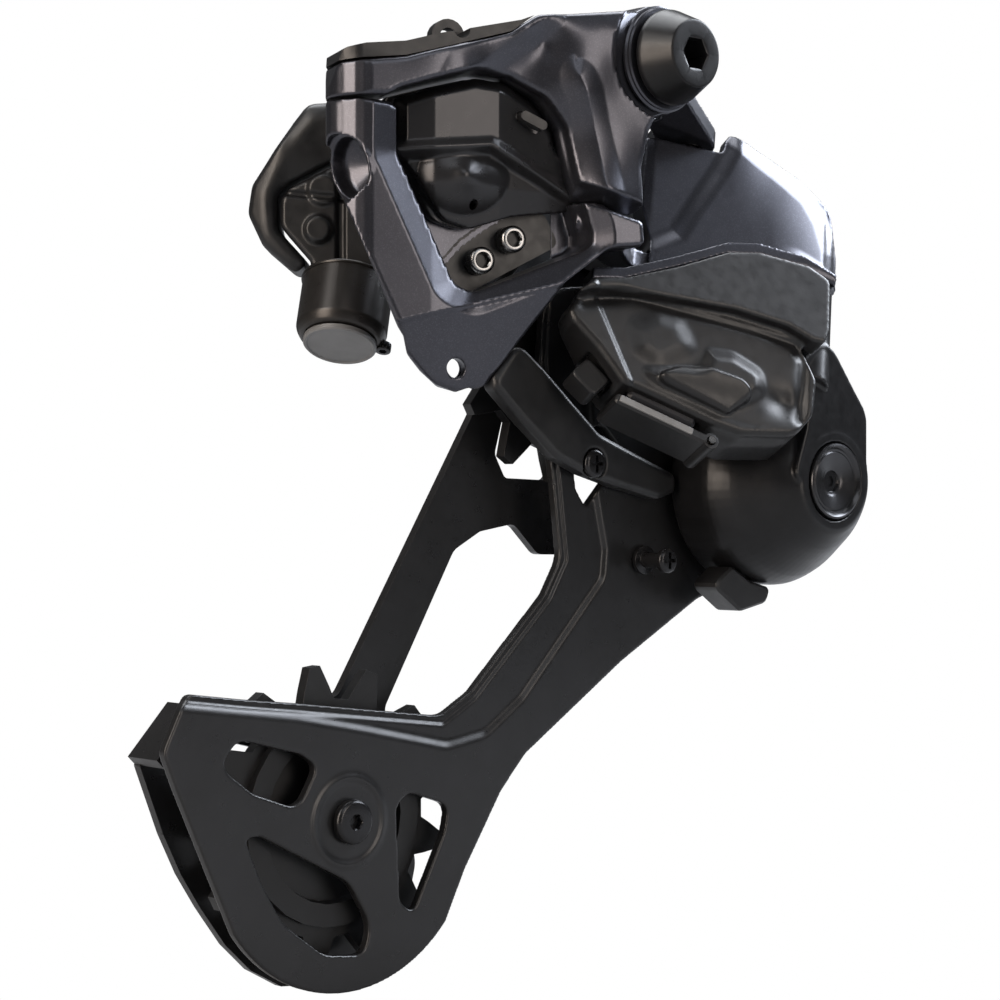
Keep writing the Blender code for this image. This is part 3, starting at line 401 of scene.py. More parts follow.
def press(obj, direction, amount):
    """Move each vertex by amount (millimetres, one for each) along a direction of the row frame."""
    way = np.array(Vector(direction).normalized()) * MM
    set_points(obj, points_of(obj) + amount[:, None] * way)


# ---------------------------------------------------------------- materials

MOTTLE = 90.0           # noise per metre: patches about a centimetre across
FLAKES = 5200.0


def node(tree, kind, **sockets):
    made = tree.nodes.new(kind)
    for name, value in sockets.items():
        made.inputs[name.replace("_", " ")].default_value = value
    return made


def span(tree, source, low, high, start=0.0, end=1.0):
    """Map a value from low..high to start..end."""
    ranged = node(tree, "ShaderNodeMapRange")
    for i, value in enumerate((low, high, start, end)):
        ranged.inputs[i + 1].default_value = value
    tree.links.new(source, ranged.inputs[0])
    return ranged.outputs[0]


def surface(name, dark, light, rough, metallic=0.0, grain=2600.0, depth=0.02, flakes=0.0, coat=0.0,
            brushed=None, specular=0.5):
    """Noise moves the colour between dark and light and the roughness over rough; grain is a fine bump.

    flakes are the bright specks of a metallic paint, and brushed stretches the grain along an axis of the
    row frame.
    """
    made = bpy.data.materials.new(name)
    made.use_nodes = True
    tree = made.node_tree
    shader = tree.nodes["Principled BSDF"]
    shader.inputs["Metallic"].default_value = metallic
    shader.inputs["Coat Weight"].default_value = coat
    shader.inputs["Coat Roughness"].default_value = 0.12
    shader.inputs["Specular IOR Level"].default_value = specular
    place = node(tree, "ShaderNodeTexCoord").outputs["Object"]

    def noise(scale, detail, stretch=None):
        source = place
        if stretch:
            mapping = node(tree, "ShaderNodeMapping")
            mapping.inputs["Scale"].default_value = stretch
            tree.links.new(place, mapping.inputs["Vector"])
            source = mapping.outputs["Vector"]
        made_noise = node(tree, "ShaderNodeTexNoise", Scale=scale, Detail=detail, Roughness=0.6)
        tree.links.new(source, made_noise.inputs["Vector"])
        return made_noise.outputs["Fac"]

    def blend(factor, one, two):
        mix = tree.nodes.new("ShaderNodeMix")
        mix.data_type = "RGBA"
        for socket, value in ((mix.inputs["A"], one), (mix.inputs["B"], two)):
            if isinstance(value, tuple):
                socket.default_value = (*value, 1.0)
            else:
                tree.links.new(value, socket)
        tree.links.new(factor, mix.inputs["Factor"])
        return mix.outputs["Result"]

    color = blend(span(tree, noise(MOTTLE, 4.0), 0.35, 0.65), dark, light)
    if flakes:
        cells = node(tree, "ShaderNodeTexVoronoi", Scale=FLAKES)
        tree.links.new(place, cells.inputs["Vector"])
        bright = tuple(min(1.0, 3.2 * c + 0.03) for c in light)
        color = blend(span(tree, cells.outputs["Color"], 0.62, 1.0, 0.0, flakes), color, bright)
    tree.links.new(color, shader.inputs["Base Color"])
    tree.links.new(span(tree, noise(MOTTLE * 5.0, 3.0), 0.3, 0.7, *rough), shader.inputs["Roughness"])

    bump = node(tree, "ShaderNodeBump", Strength=0.6, Distance=depth * MM)
    tree.links.new(noise(grain, 3.0, brushed), bump.inputs["Height"])
    tree.links.new(bump.outputs["Normal"], shader.inputs["Normal"])
    return made


MATERIALS = {name: surface(name, *basics, **more) for name, basics, more in (
    ("paint", ((0.050, 0.051, 0.061), (0.056, 0.057, 0.068), (0.275, 0.305), 0.85),
     {"flakes": 0.16, "coat": 0.15, "depth": 0.008}),
    ("black_cast", ((0.006, 0.006, 0.0065), (0.010, 0.010, 0.011), (0.28, 0.36), 0.25),
     {"depth": 0.012, "specular": 0.35}),
    ("motor", ((0.024, 0.022, 0.021), (0.030, 0.028, 0.026), (0.27, 0.32), 0.6), {"depth": 0.008}),
    ("plate", ((0.012, 0.012, 0.0125), (0.015, 0.015, 0.016), (0.27, 0.33), 0.3), {"depth": 0.006}),
    ("turned", ((0.045, 0.045, 0.047), (0.055, 0.055, 0.058), (0.22, 0.27), 0.9), {"depth": 0.004}),
    ("moulded", ((0.005, 0.005, 0.0055), (0.009, 0.009, 0.0095), (0.34, 0.44)),
     {"grain": 1500.0, "depth": 0.018, "specular": 0.4}),
    ("pulley", ((0.005, 0.005, 0.0055), (0.008, 0.008, 0.0085), (0.34, 0.44)),
     {"grain": 1300.0, "depth": 0.02, "specular": 0.4}),
    ("case", ((0.026, 0.026, 0.028), (0.030, 0.030, 0.032), (0.27, 0.30), 0.6), {"depth": 0.006}),
    ("grey_moulded", ((0.16, 0.158, 0.155), (0.20, 0.198, 0.195), (0.34, 0.44), 0.3), {"depth": 0.012}),
    ("black_steel", ((0.020, 0.020, 0.021), (0.028, 0.028, 0.030), (0.20, 0.28), 0.7), {"depth": 0.006}),
    ("bright_steel", ((0.22, 0.22, 0.22), (0.30, 0.30, 0.30), (0.20, 0.30), 1.0),
     {"depth": 0.006, "brushed": (1.0, 1.0, 12.0)}),
    ("end_plate", ((0.12, 0.12, 0.12), (0.15, 0.15, 0.15), (0.42, 0.5), 0.3), {"depth": 0.01}),
    ("spring_steel", ((0.12, 0.12, 0.12), (0.18, 0.18, 0.18), (0.22, 0.32), 1.0), {"depth": 0.006}),
    ("wrap", ((0.010, 0.010, 0.012), (0.016, 0.016, 0.019), (0.40, 0.5)), {"depth": 0.01}),
)}


def dress(obj, look, angle):
    obj.data.materials.clear()
    obj.data.materials.append(MATERIALS[look])
    obj.data.shade_smooth()
    if angle:
        obj.data.set_sharp_from_angle(angle=math.radians(angle))
        modifier = obj.modifiers.new("flat faces", "WEIGHTED_NORMAL")
        modifier.keep_sharp = True
        bake(obj)


def stand_for(obj, node_name, look, angle=SMOOTH_ANGLE):
    """obj takes a CAD node's place, on that node's body."""
    dress(obj, look, angle)
    obj.name = node_name + "_look"
    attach(obj, NODES[node_name]["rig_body"])
    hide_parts(node_name)
    DONE.add(node_name)


def add_piece(obj, name, body, look):
    dress(obj, look, SMOOTH_ANGLE)
    obj.name = name
    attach(obj, body)


# ---------------------------------------------------------------- camera, light and floor

def make_camera():
    data = bpy.data.cameras.new("camera")
    data.lens = LENS
    data.sensor_width = SENSOR
    data.clip_start = 0.01
    camera = bpy.data.objects.new("camera", data)
    bpy.context.scene.collection.objects.link(camera)
    turn = Matrix((CAMERA_RIGHT, UP, TO_CAMERA)).transposed()
    camera.matrix_world = Matrix.Translation(CAMERA_PLACE * MM) @ turn.to_4x4()
    bpy.context.scene.camera = camera


def softbox(name, direction, distance, width, height, radiance, color):
    """An area light at that distance from the object's middle, facing it."""
    data = bpy.data.lights.new(name, "AREA")
    data.shape = "RECTANGLE"
    data.size = width
    data.size_y = height
    data.energy = radiance * math.pi * width * height
    data.color = color
    light = bpy.data.objects.new(name, data)
    way = Vector(direction).normalized()
    light.location = LIT_MIDDLE + way * distance
    light.rotation_mode = "QUATERNION"
    light.rotation_quaternion = way.to_track_quat("Z", "Y")
    bpy.context.scene.collection.objects.link(light)


def split(tree, for_light, for_camera, output):
    """Light meets one shader and the camera sees the other."""
    mix = tree.nodes.new("ShaderNodeMixShader")
    path = tree.nodes.new("ShaderNodeLightPath")
    tree.links.new(path.outputs["Is Camera Ray"], mix.inputs["Fac"])
    tree.links.new(for_light.outputs[0], mix.inputs[1])
    tree.links.new(for_camera.outputs[0], mix.inputs[2])
    tree.links.new(mix.outputs[0], tree.nodes[output].inputs["Surface"])


def make_light():
    right, back, up = CAMERA_RIGHT, TO_CAMERA, UP
    softbox("warm_side", (-1.0, -0.05, 0.10), 0.9, 0.42, 1.0, 8.5, (1.0, 0.86, 0.74))
    softbox("warm_front", (0.04, -1.0, 0.10), 0.95, 0.36, 0.8, 4.4, (1.0, 0.90, 0.82))
    softbox("cool_rim", right * 0.75 - back * 0.35 + up * 0.62, 0.95, 0.7, 0.5, 18.0, (0.86, 0.91, 1.0))
    softbox("top", -back * 0.25 + up * 1.0 - right * 0.1, 0.9, 0.8, 0.6, 6.0, (0.95, 0.97, 1.0))
    softbox("upper_left", back * 0.5 - right * 0.55 + up * 0.62, 0.95, 0.35, 0.45, 4.5, (1.0, 0.97, 0.94))
    softbox("fill", back * 1.0 + right * 0.35 + up * 0.9, 1.0, 0.5, 0.5, 1.6, (0.93, 0.96, 1.0))

    world = bpy.data.worlds.new("studio")
    bpy.context.scene.world = world
    world.use_nodes = True
    tree = world.node_tree
    backdrop = tree.nodes["Background"]
    backdrop.inputs["Color"].default_value = (1.0, 1.0, 1.0, 1.0)
    room = tree.nodes.new("ShaderNodeBackground")
    room.inputs["Color"].default_value = (0.95, 0.97, 1.0, 1.0)
    room.inputs["Strength"].default_value = 0.09
    split(tree, room, backdrop, "World Output")
    bpy.context.scene.view_settings.view_transform = "Standard"


def make_floor():
    """A pale floor just under the cage."""
    bm = bmesh.new()
    bmesh.ops.create_circle(bm, cap_ends=True, segments=96, radius=4.0)
    floor = add_object("floor", bm)
    floor.location.z = cad_box[0][2] - MM
    pale = bpy.data.materials.new("floor")
    pale.use_nodes = True
    tree = pale.node_tree
    shader = tree.nodes["Principled BSDF"]
    shader.inputs["Base Color"].default_value = (0.30, 0.30, 0.30, 1.0)
    shader.inputs["Roughness"].default_value = 0.8
    split(tree, shader, tree.nodes.new("ShaderNodeEmission"), "Material Output")
    floor.data.materials.append(pale)


# ---------------------------------------------------------------- relief

def relief(obj, place, back, front, height):
    """Press height(u, v) into a front along the viewing axis, fading out from w = front to back."""
    u, v, w = heights(place, obj)
    press(obj, TO_CAMERA, height(u, v) * soft_step(w, back, front))


def facets(corners, blur):
    """Flat facets between corners (u, v, height), with their creases rounded over blur millimetres."""
    turns = [math.tau * i / 8 for i in range(8)]
    steps = [(0.0, 0.0)]
    steps += [(r * blur * math.cos(t), r * blur * math.sin(t)) for r in (0.5, 1.0) for t in turns]
    return lambda u, v: sum(surface_between(u + x, v + y, corners) for x, y in steps) / len(steps)


def draped(corners):
    """A smooth sheet (a thin-plate spline) through corners (u, v, height)."""
    at = np.array([c[:2] for c in corners], float)
    count = len(at)

    def kernel(gap):
        return np.where(gap > 1e-9, gap ** 2 * np.log(np.maximum(gap, 1e-9)), 0.0)

    gaps = np.hypot(*(at[:, None] - at[None]).transpose(2, 0, 1))
    plane = np.column_stack((np.ones(count), at))
    system = np.block([[kernel(gaps) + 2.0 * np.eye(count), plane], [plane.T, np.zeros((3, 3))]])
    weights = np.linalg.solve(system, np.concatenate(([c[2] for c in corners], np.zeros(3))))

    def height(u, v):
        total = weights[count] + weights[count + 1] * u + weights[count + 2] * v
        for (x, y), weight in zip(at, weights):
            total = total + weight * kernel(np.hypot(u - x, v - y))
        return np.clip(total, -6.0, 2.0)

    return height


def crest(u, v, line, tall, left, right):
    """A sharp ridge along a line, falling off over left and right millimetres of it."""
    gap = to_line(u, v, line)
    (x0, y0), (x1, y1) = line[0], line[-1]
    side = (x1 - x0) * (v - y0) - (y1 - y0) * (u - x0)
    return tall * np.clip(1.0 - gap / np.where(side > 0, left, right), 0.0, 1.0)


def with_socket(profile, across, floor):
    """End a turned profile, whose last ring is its face, in a countersunk hexagon socket."""
    half = across / 2.0
    top = profile[-1][1]
    return profile[:-1] + [(half * 1.22, top), (half, top - 0.25, "hex"), (half, floor, "hex"), (0, floor)]


# ---------------------------------------------------------------- hanger bolt

def make_hanger_bolt():
    profile = [(0, -9.5), (4.2, -9.5), (5.0, -8.5), (5.0, 18.0), (8.6, 18.0), (9.5, 18.8), (9.5, 19.8),
               (6.7, 26.0), (0, 26.0)]
    bolt = lathe(HANGER, with_socket(soft_profile(profile, 0.45), 6.0, 20.5))
    stand_for(bolt, "hanger_bolt", "black_cast")
    ring = [(5.3, 15.9), (10.3, 15.9), (10.6, 16.2), (10.6, 16.7), (10.2, 17.0), (10.2, 17.4), (9.9, 17.7),
            (5.3, 17.7)]
    stand_for(lathe(HANGER, ring), "bolt_collar", "paint")


# ---------------------------------------------------------------- bracket

UPPER_FACETS = [
    (-76, -16, -0.8), (-76, 6, -0.8), (-62, -1.0, -0.6), (-62, -3.6, 0.0), (-62, -13, 0.0),
    (-46.2, -8.6, 0.3), (-44.2, -5.4, 0.3), (-31.9, 3.1, 0.3), (-28.0, 7.5, 0.0), (-40.0, -6.6, -3.0),
    (-35.0, -2.6, -2.8), (-29.0, 1.6, -2.2), (-31.0, -9.5, -3.6), (-26.0, -4.0, -1.0), (-24.8, 4.6, 0.2),
    (-19.9, -7.9, 0.8), (-14.6, -29.4, 0.8), (-24.5, -15.0, -3.6), (-21.5, -30.0, -3.4),
    (-9.0, -13.0, -0.9), (-8.4, -32.0, -2.4), (-4.0, -20.0, -3.0), (-25.0, 11.0, -2.6), (-16.0, 6.0, 0.3),
    (-16.0, 11.0, -3.0), (-6.0, 7.0, 0.3), (-6.0, 11.0, -3.0), (4.0, 6.0, 0.0), (14.0, 12.0, -2.0),
    (6.0, -4.0, 0.0), (14.0, -12.0, -2.0), (-4.0, -9.0, 0.0), (-12.0, -3.0, 0.0),
]
BAR_CREST = [(-46.2, -9.4), (-44.2, -5.4), (-31.9, 3.1), (-27.0, 6.6)]
LEG_CREST = [(-21.2, -5.4), (-19.9, -7.9), (-14.6, -29.4)]
UPPER_SHEET = draped(UPPER_FACETS)


def upper_relief(u, v):
    """Broad hollows between two crisp crests, one across the bar and one down the leg."""
    crests = crest(u, v, BAR_CREST, 0.8, 5.0, 3.2) + crest(u, v, LEG_CREST, 0.9, 3.6, 4.5)
    return 0.85 * UPPER_SHEET(u, v) + crests


POCKET = rounded([(-59.0, -8.0), (-59.2, -21.5, 3), (-47.5, -46.2, 3), (-43.5, -48.0, 3), (-17.5, -38.0, 3),
                  (-21.2, -26.0)])


def lower_relief(u, v):
    """A sloping rim round the pocket, and a tab that leans back below the seam."""
    rim = -3.0 * (1.0 - np.clip(-inside(u, v, POCKET) / 4.6, 0.0, 1.0))
    below = 0.24 * (u + 22.5) - 45.5 - v
    seam = -0.7 * soft_step(below, -0.2, 0.2) - 0.42 * np.clip(below, 0.0, 16.0)
    return rim + seam - 0.09 * np.clip(-u - 52.0, 0.0, 20.0)


def make_brackets():
    upper = cast(copy_of("upper_bracket"), 0.4, 6)
    relief(upper, BRACKET, -7.0, -1.0, upper_relief)
    stand_for(upper, "upper_bracket", "paint", None)
    lower = cast(copy_of("lower_bracket"), 0.4, 6)
    relief(lower, BRACKET, -9.0, -1.0, lower_relief)
    stand_for(lower, "lower_bracket", "paint", None)
    stand_for(bevel(copy_of("top_cover"), 0.25), "top_cover", "moulded")
    tray = rounded([(-50.5, -30.5, 3), (-24.0, -30.5, 3), (-20.5, -37.0, 2), (-43.0, -48.8, 3),
                    (-50.5, -41.0, 3)])
    add_piece(prism(BRACKET, tray, -12.6, -12.0), "screw_pocket_floor", "bracket", "moulded")


CASE_OUTLINE = rounded([(-58.3, -10.3, 1), (-50.0, -7.9, 3), (-42.0, -5.8, 4), (-35.5, -6.4, 4),
                        (-28.3, -10.0, 4), (-24.4, -14.8, 3), (-22.3, -24.0, 2), (-20.8, -30.4, 2),
                        (-34.0, -32.2, 4), (-43.0, -35.0, 3), (-48.5, -33.5, 4), (-55.0, -24.0, 3),
                        (-58.3, -20.5, 2)])
SHELF_LINE = [(-60.0, -21.0), (-50.3, -20.3), (-38.5, -19.2), (-30.0, -23.4), (-19.0, -29.2)]
SHELF_ZONE = SHELF_LINE + [(-18.0, -45.0), (-62.0, -45.0)]


def case_relief(u, v):
    """A front that turns back to the right, a bright shelf under it, and a nose with a dome on it."""
    rim = -4.2 * (1.0 - np.clip(inside(u, v, CASE_OUTLINE) / 2.4, 0.0, 1.0)) * soft_step(v, -21.0, -17.0)
    turn = -0.36 * np.clip(u + 37.0, 0.0, 20.0) - 0.30 * np.clip(-u - 50.3, 0.0, 10.0)
    shelf = to_line(u, v, SHELF_LINE)
    edge = 1.1 * np.clip(1.0 - shelf / 1.7, 0.0, 1.0)
    under = soft_step(inside(u, v, SHELF_ZONE), 0.0, 2.2)
    nose = 3.4 * np.clip(1.0 - ((u + 44.5) / 9.5) ** 2 - ((v + 25.0) / 7.5) ** 2, 0.0, 1.0)
    dome = 1.3 * np.exp(-(((u + 43.6) / 2.4) ** 2 + ((v + 25.4) / 2.2) ** 2))
    drop = -0.30 * np.clip(-27.0 - v, 0.0, 10.0)
    return rim + turn * (1.0 - 0.4 * under) + edge + under * (nose + dome + drop - 3.2)


def make_bracket_trim():
    case = cast(prism(BRACKET, CASE_OUTLINE, -11.6, -3.0), 0.3, 2)
    relief(case, BRACKET, -10.5, -3.6, case_relief)
    even_out(case, 10)
    cut(case, prism(BRACKET, capsule((-31.8, -13.3), (-28.2, -14.9), 1.25), -6.6, 0.0),
        rod(BRACKET, 0.9, -12.0, 0.0, (-41.2, -30.6), 32))
    stand_for(case, "control_case", "case", 75.0)
    stand_for(bevel(copy_of("mode_button"), 0.3), "mode_button", "moulded")
    for name, center in (("low_limit_screw", (-38.3, -41.0)), ("high_limit_screw", (-31.7, -36.6))):
        profile = [(0, -14.4), (1.7, -14.4), (1.7, -11.7), (2.7, -11.7), (2.7, -8.6), (2.2, -8.0), (0, -8.0)]
        screw = lathe(BRACKET, with_socket(soft_profile(profile, 0.25), 2.7, -10.6), center)
        stand_for(screw, name, "bright_steel")
        body = NODES[name]["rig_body"]
        # Painted shade: a black moulded hexagon fills the bottom of each steel socket and stands in for the
        # shadow deep inside it.
        add_piece(hexagon(BRACKET, 2.6, -10.7, -9.4, center), name + "_socket_painted_shade", body, "moulded")
    profile = [(0, 0), (2.3, 0), (2.3, 2.5), (1.6, 2.5), (1.6, 12.6), (1.1, 13.2), (0, 13.2)]
    screw = lathe(B_SCREW, soft_profile(profile, 0.25), sides=48)
    stand_for(cut(screw, hexagon(B_SCREW, 2.5, -1.0, 1.6)), "b_tension_screw", "bright_steel")


# ---------------------------------------------------------------- drive

def make_drive():
    profile = [(0, -2.6), (9.2, -2.6), (9.2, 8.9), (8.9, 9.6), (8.3, 10.6), (7.8, 11.0), (0, 11.0)]
    can = lathe(MOTOR, soft_profile(profile, 0.4))
    join(can, lathe(MOTOR, [(9.0, -2.4), (9.45, -2.4), (9.55, -2.1), (9.45, -1.8), (9.0, -1.8)]))
    stand_for(can, "motor_can", "motor")
    cap = [(0, 11.3), (7.4, 11.3), (7.4, 12.1), (7.1, 12.4), (6.7, 12.4), (6.5, 12.2), (0, 12.2)]
    stand_for(lathe(MOTOR, cap), "motor_end_cap", "end_plate")
    lug = lathe(MOTOR, soft_profile([(0, 9.6), (1.6, 9.6), (1.6, 11.4), (0, 11.4)], 0.25), (8.6, -2.0), 32)
    cut(lug, hexagon(MOTOR, 1.5, 10.8, 12.0, (8.6, -2.0)))
    add_piece(lug, "motor_screw", "bracket", "black_steel")

    gearbox = cast(copy_of("gearbox_case"), 0.35, 5)
    bumps = [((-12.0, 7.0), 3.2, 1.4), ((-7.5, -2.5), 3.6, 1.2), ((-20.0, -3.5), 2.6, 1.6),
             ((-19.0, 4.5), 3.0, 1.0)]

    def lumps(u, v):
        across = soft_step(np.abs(v - 1.2 + 0.1 * u), 0.9, 0.2)
        total = -1.0 * soft_step(np.abs(u + 15.5), 1.2, 0.4) - 0.8 * across
        for (x, y), size, tall in bumps:
            total = total + tall * soft_step(np.hypot(u - x, v - y), size + 0.7, size - 0.5)
        return total

    relief(gearbox, REAR, -12.0, -9.6, lumps)
    stand_for(gearbox, "gearbox_case", "moulded", None)
    cover = cast(copy_of("side_cover"), 0.35, 5)
    shape = [(-9, 24, -2.2), (-9, 19.5, 0.2), (-9, 13, -0.8), (-21, 19.0, 0.4), (-23.5, 23.5, -2.4),
             (-27.0, 11.5, 0.8), (-36, 5.5, -2.6), (-30.6, 3.0, 0.8), (-36, -1.0, -2.8),
             (-30.0, -4.0, 0.4), (-33, -8, -2.6), (-24.6, -13.6, -2.4), (-25.8, -9.0, -0.2),
             (-21.0, -9.5, -1.6), (-27.6, -3.4, -0.8), (-27.6, 3.6, -0.6), (-25.0, 6.5, -0.5),
             (-18.0, 10.5, -0.7), (-38.0, 25.0, -3.0)]
    relief(cover, REAR, -13.5, -9.6, facets(shape, 1.6))
    stand_for(cover, "side_cover", "moulded", None)


# ---------------------------------------------------------------- parallelogram

LINK_CREST = [(10.6, 36.0), (10.0, 31.0), (7.2, 23.8), (2.2, 13.5), (-1.3, 5.6), (-8.0, 0.5), (-15.0, -4.4)]
LINK_PLATE = LINK_CREST + [(-60.0, -20.0), (-60.0, 60.0), (10.6, 60.0)]
LINK_TOP = [(8.0, 37.0), (12.3, 35.0), (19.9, 31.4), (27.6, 27.2), (31.6, 21.5), (34.4, 14.0), (35.0, 4.0)]
LIP = [(-23.0, -9.4), (-16.0, -7.3), (-5.0, -1.2), (5.5, 5.2), (12.4, 7.2), (23.5, 7.4), (30.6, 5.0)]


def link_relief(u, v):
    """The face stands proud of the plate beside it, and leaves the lip at its foot alone."""
    clear = soft_step(to_line(u, v, LIP), 0.6, 5.0)
    step = -1.7 * soft_step(inside(u, v, LINK_PLATE), 0.0, 5.2)
    rim = -1.5 * (1.0 - soft_step(to_line(u, v, LINK_TOP), 0.0, 5.0))
    right = -0.012 * np.clip(u - 17.0, 0.0, 14.0) ** 2
    top = -0.003 * np.clip(v - 10.0, 0.0, 20.0) ** 2 * soft_step(u, 8.0, 20.0)
    return clear * (step + right + top + soft_step(v, 3.0, 9.0) * rim)


BULGE = rounded([(-13.6, -19.5, 3), (-8.4, -15.0, 3), (-3.0, -15.6, 3), (0.6, -21.0, 3), (-6.7, -26.4, 4),
                 (-12.0, -24.6, 3)])
DOME = rounded([(1.0, -24.6, 3), (2.6, -19.4, 2), (9.0, -18.4, 6), (16.4, -21.0, 6), (17.4, -26.5, 5),
                (11.5, -33.5, 4), (2.0, -40.0, 3), (-14.0, -27.5, 4)])
HULL_RIM = [(-24.0, -17.0), (-14.0, -12.6), (-3.4, -12.4), (12.2, -12.0), (22.4, -13.0), (24.6, -17.0),
            (24.6, -30.0)]


def housing_relief(u, v):
    """Two bulges over the gears, and a hollow in the lower corner."""
    hull = soft_step(-v, 12.0, 14.0)
    crease = to_line(u, v, HULL_RIM)
    corner = -1.6 * np.exp(-(((u - 20.6) / 3.6) ** 2 + ((v + 27.4) / 3.0) ** 2))
    lean = -0.10 * np.clip(-v - 14.0, 0.0, 20.0)
    left = 0.9 * soft_step(-(u + 17.0) - 0.55 * (v + 24.0), -0.8, 0.4)
    bulge = 1.1 * soft_step(inside(u, v, BULGE), -2.0, 3.0)
    dome = 2.1 * soft_step(inside(u, v, DOME), 0.0, 3.4) * soft_step(v, -33.0, -25.0)
    return hull * (bulge + dome + corner + lean + left - 1.2 * np.exp(-(crease / 1.3) ** 2))


def make_link():
    link = cast(copy_of("outer_link"), 0.35, 5)
    relief(link, LINK, -1.0, 4.6, link_relief)
    stand_for(link, "outer_link", "paint", None)
    stand_for(bevel(copy_of("inner_link"), 0.4), "inner_link", "black_cast")


def make_battery():
    housing = cast(copy_of("battery_housing"), 0.4, 5)
    relief(housing, LINK, 2.0, 8.0, housing_relief)
    stand_for(housing, "battery_housing", "moulded", None)
    stand_for(bevel(copy_of("battery_cover"), 0.25), "battery_cover", "moulded")
    stand_for(bevel(copy_of("battery_latch"), 0.25), "battery_latch", "moulded")
    corner = LINK.origin + LINK.u * PACK_CORNER[0] + LINK.v * PACK_CORNER[1]
    lean = Frame(corner, LINK.u * math.cos(PACK_TILT) + LINK.v * math.sin(PACK_TILT),
                 LINK.v * math.cos(PACK_TILT) - LINK.u * math.sin(PACK_TILT))
    strip = rounded([(-9.2, -2.6, 0.3), (7.0, -2.6, 0.3), (7.0, -1.2, 0.3), (-9.2, -1.2, 0.3)])
    add_piece(bevel(prism(lean, strip, 6.6, 7.1), 0.15), "cover_trim", "pack_cover", "grey_moulded")


# ---------------------------------------------------------------- cage knuckle

FAR_INNER = (LINK_LENGTH - 7.9, 20.5)


def make_knuckle():
    drum = [(0, 9.3), (21.4, 9.3), (22.0, 9.9), (22.0, 20.0), (20.0, 24.5), (14.2, 32.6), (11.0, 35.6),
            (10.2, 36.0), (0, 36.0)]
    knuckle = lathe(SIDE, soft_profile(drum, 1.5))
    tear = rounded([(-13.0, 0.0, 3), (-8.5, 12.0, 6), (-11.5, 24.5, 5), (-2.0, 29.5, 6), (4.0, 22.0, 6),
                    (10.4, 14.0, 6), (10.4, 2.0, 4), (6.0, -3.0)])
    shoulder = rounded([(-16.0, 6.0, 4), (-5.0, 20.5, 5), (3.0, 25.2, 5), (16.0, 25.0, 4), (24.5, 15.0, 4),
                        (21.0, 2.0, 4)])
    join(knuckle, prism(SIDE, tear, 27.2, 35.9), prism(SIDE, shoulder, 11.0, 24.2),
         rod(PLAN, 4.4, -16.5, 5.5, (LINK_LENGTH, 0)), rod(PLAN, 3.8, -9.0, 19.4, FAR_INNER))
    hollow = [(0, 0), (14.5, 0), (14.5, 27.0), (6.0, 27.0), (6.0, 33.6), (8.3, 33.6), (8.3, 40.0), (0, 40.0)]
    room = prism(SIDE, [(-60, -60), (-60, 20.5), (60, 20.5), (60, -60)], -30.0, 9.3)
    cut(knuckle, lathe(SIDE, hollow), room, rod(PLAN, 2.5, -13.3, 60, (LINK_LENGTH, 0)),
        rod(PLAN, 2.5, -3.3, 60, FAR_INNER))
    cast(knuckle, 0.35, 7)
    stand_for(knuckle, "cage_knuckle", "black_cast", None)
    profile = [(0, 33.9), (8.0, 33.9), (8.0, 36.0), (7.8, 36.4), (7.4, 36.5), (7.0, 36.2), (6.7, 35.7),
               (6.3, 35.6), (6.0, 35.8), (3.4, 35.25), (2.9, 34.9), (2.3, 34.8), (2.1, 34.4), (0, 34.4)]
    cap = lathe(SIDE, profile)
    cut(cap, hexagon(SIDE, 2.2, 34.0, 36.0))
    stand_for(cap, "pivot_cap", "turned", 30.0)
    stand_for(bevel(copy_of("cage_bumper"), 0.3), "cage_bumper", "moulded")


# ---------------------------------------------------------------- cage

def cross_screw(center, radius, low, neck, head_radius, top, washer=None):
    profile = [(0, low), (radius, low)]
    if washer:
        size, start, end = washer
        profile += [(radius, start), (size, start), (size, end)]
    profile += [(radius, washer[2] if washer else neck - 0.1), (radius, neck), (head_radius, neck),
                (head_radius, top - 0.5), (head_radius - 0.5, top), (0, top)]
    screw = lathe(CAGE, soft_profile(profile, 0.2), center, 48)
    x, y = center
    for wide, tall in ((1.7, 0.35), (0.35, 1.7)):
        bar = [(x - wide, y - tall), (x + wide, y - tall), (x + wide, y + tall), (x - wide, y + tall)]
        cut(screw, prism(CAGE, bar, top - 0.9, top + 2))
    return screw


ARM_EDGE = [(50.0, 103.0), (48.8, 88.0), (52.4, 64.0), (54.4, 48.2), (50.0, 41.0), (30.2, 22.4), (22.6, 18.2),
            (-10.7, 22.4), (-24.0, 23.9), (-36.6, 25.6)]
UPPER_STEP = rounded([(64.0, 62.0, 3), (66.8, 50.0, 3), (66.2, 44.0, 4), (43.5, 20.5, 6), (34.0, 14.2, 6),
                      (24.0, 12.6, 6), (4.0, 17.0, 6), (-12.0, 20.2, 3), (-40.0, 24.0), (-40.0, 40.0),
                      (20.0, 60.0), (40.0, 110.0), (60.0, 110.0)])
PIVOT_IN_CAGE = (CAGE_PIVOT.x - TENSION.x, CAGE_PIVOT.z - TENSION.z)
GUIDE_IN_CAGE = (GUIDE.x - TENSION.x, GUIDE.z - TENSION.z)
STOP_PIN_AT = (77.5, 47.6)
GUARD_SCREW_AT = (59.3, 67.4)
SLOTS = (
    [(-29.5, 12.3, 4), (-25.6, 17.0, 4), (-11.3, 13.3, 3.2), (-7.4, 10.8, 3.5), (-11.8, 3.2, 4),
     (-22.2, 6.9, 5)],
    [(-24.0, -1.0, 1.8), (-20.5, -0.9, 2.2), (0.0, -11.4, 8), (5.2, -20.0, 7), (3.6, -25.6, 4),
     (-6.0, -24.4, 8), (-15.5, -17.5, 14), (-20.6, -9.0, 12)],
    [(11.2, 1.6, 3.4), (14.2, 4.4, 3.4), (24.6, 1.0, 4), (23.4, -4.4, 8), (15.6, -19.0, 2.4),
     (12.2, -16.6, 3)],
)
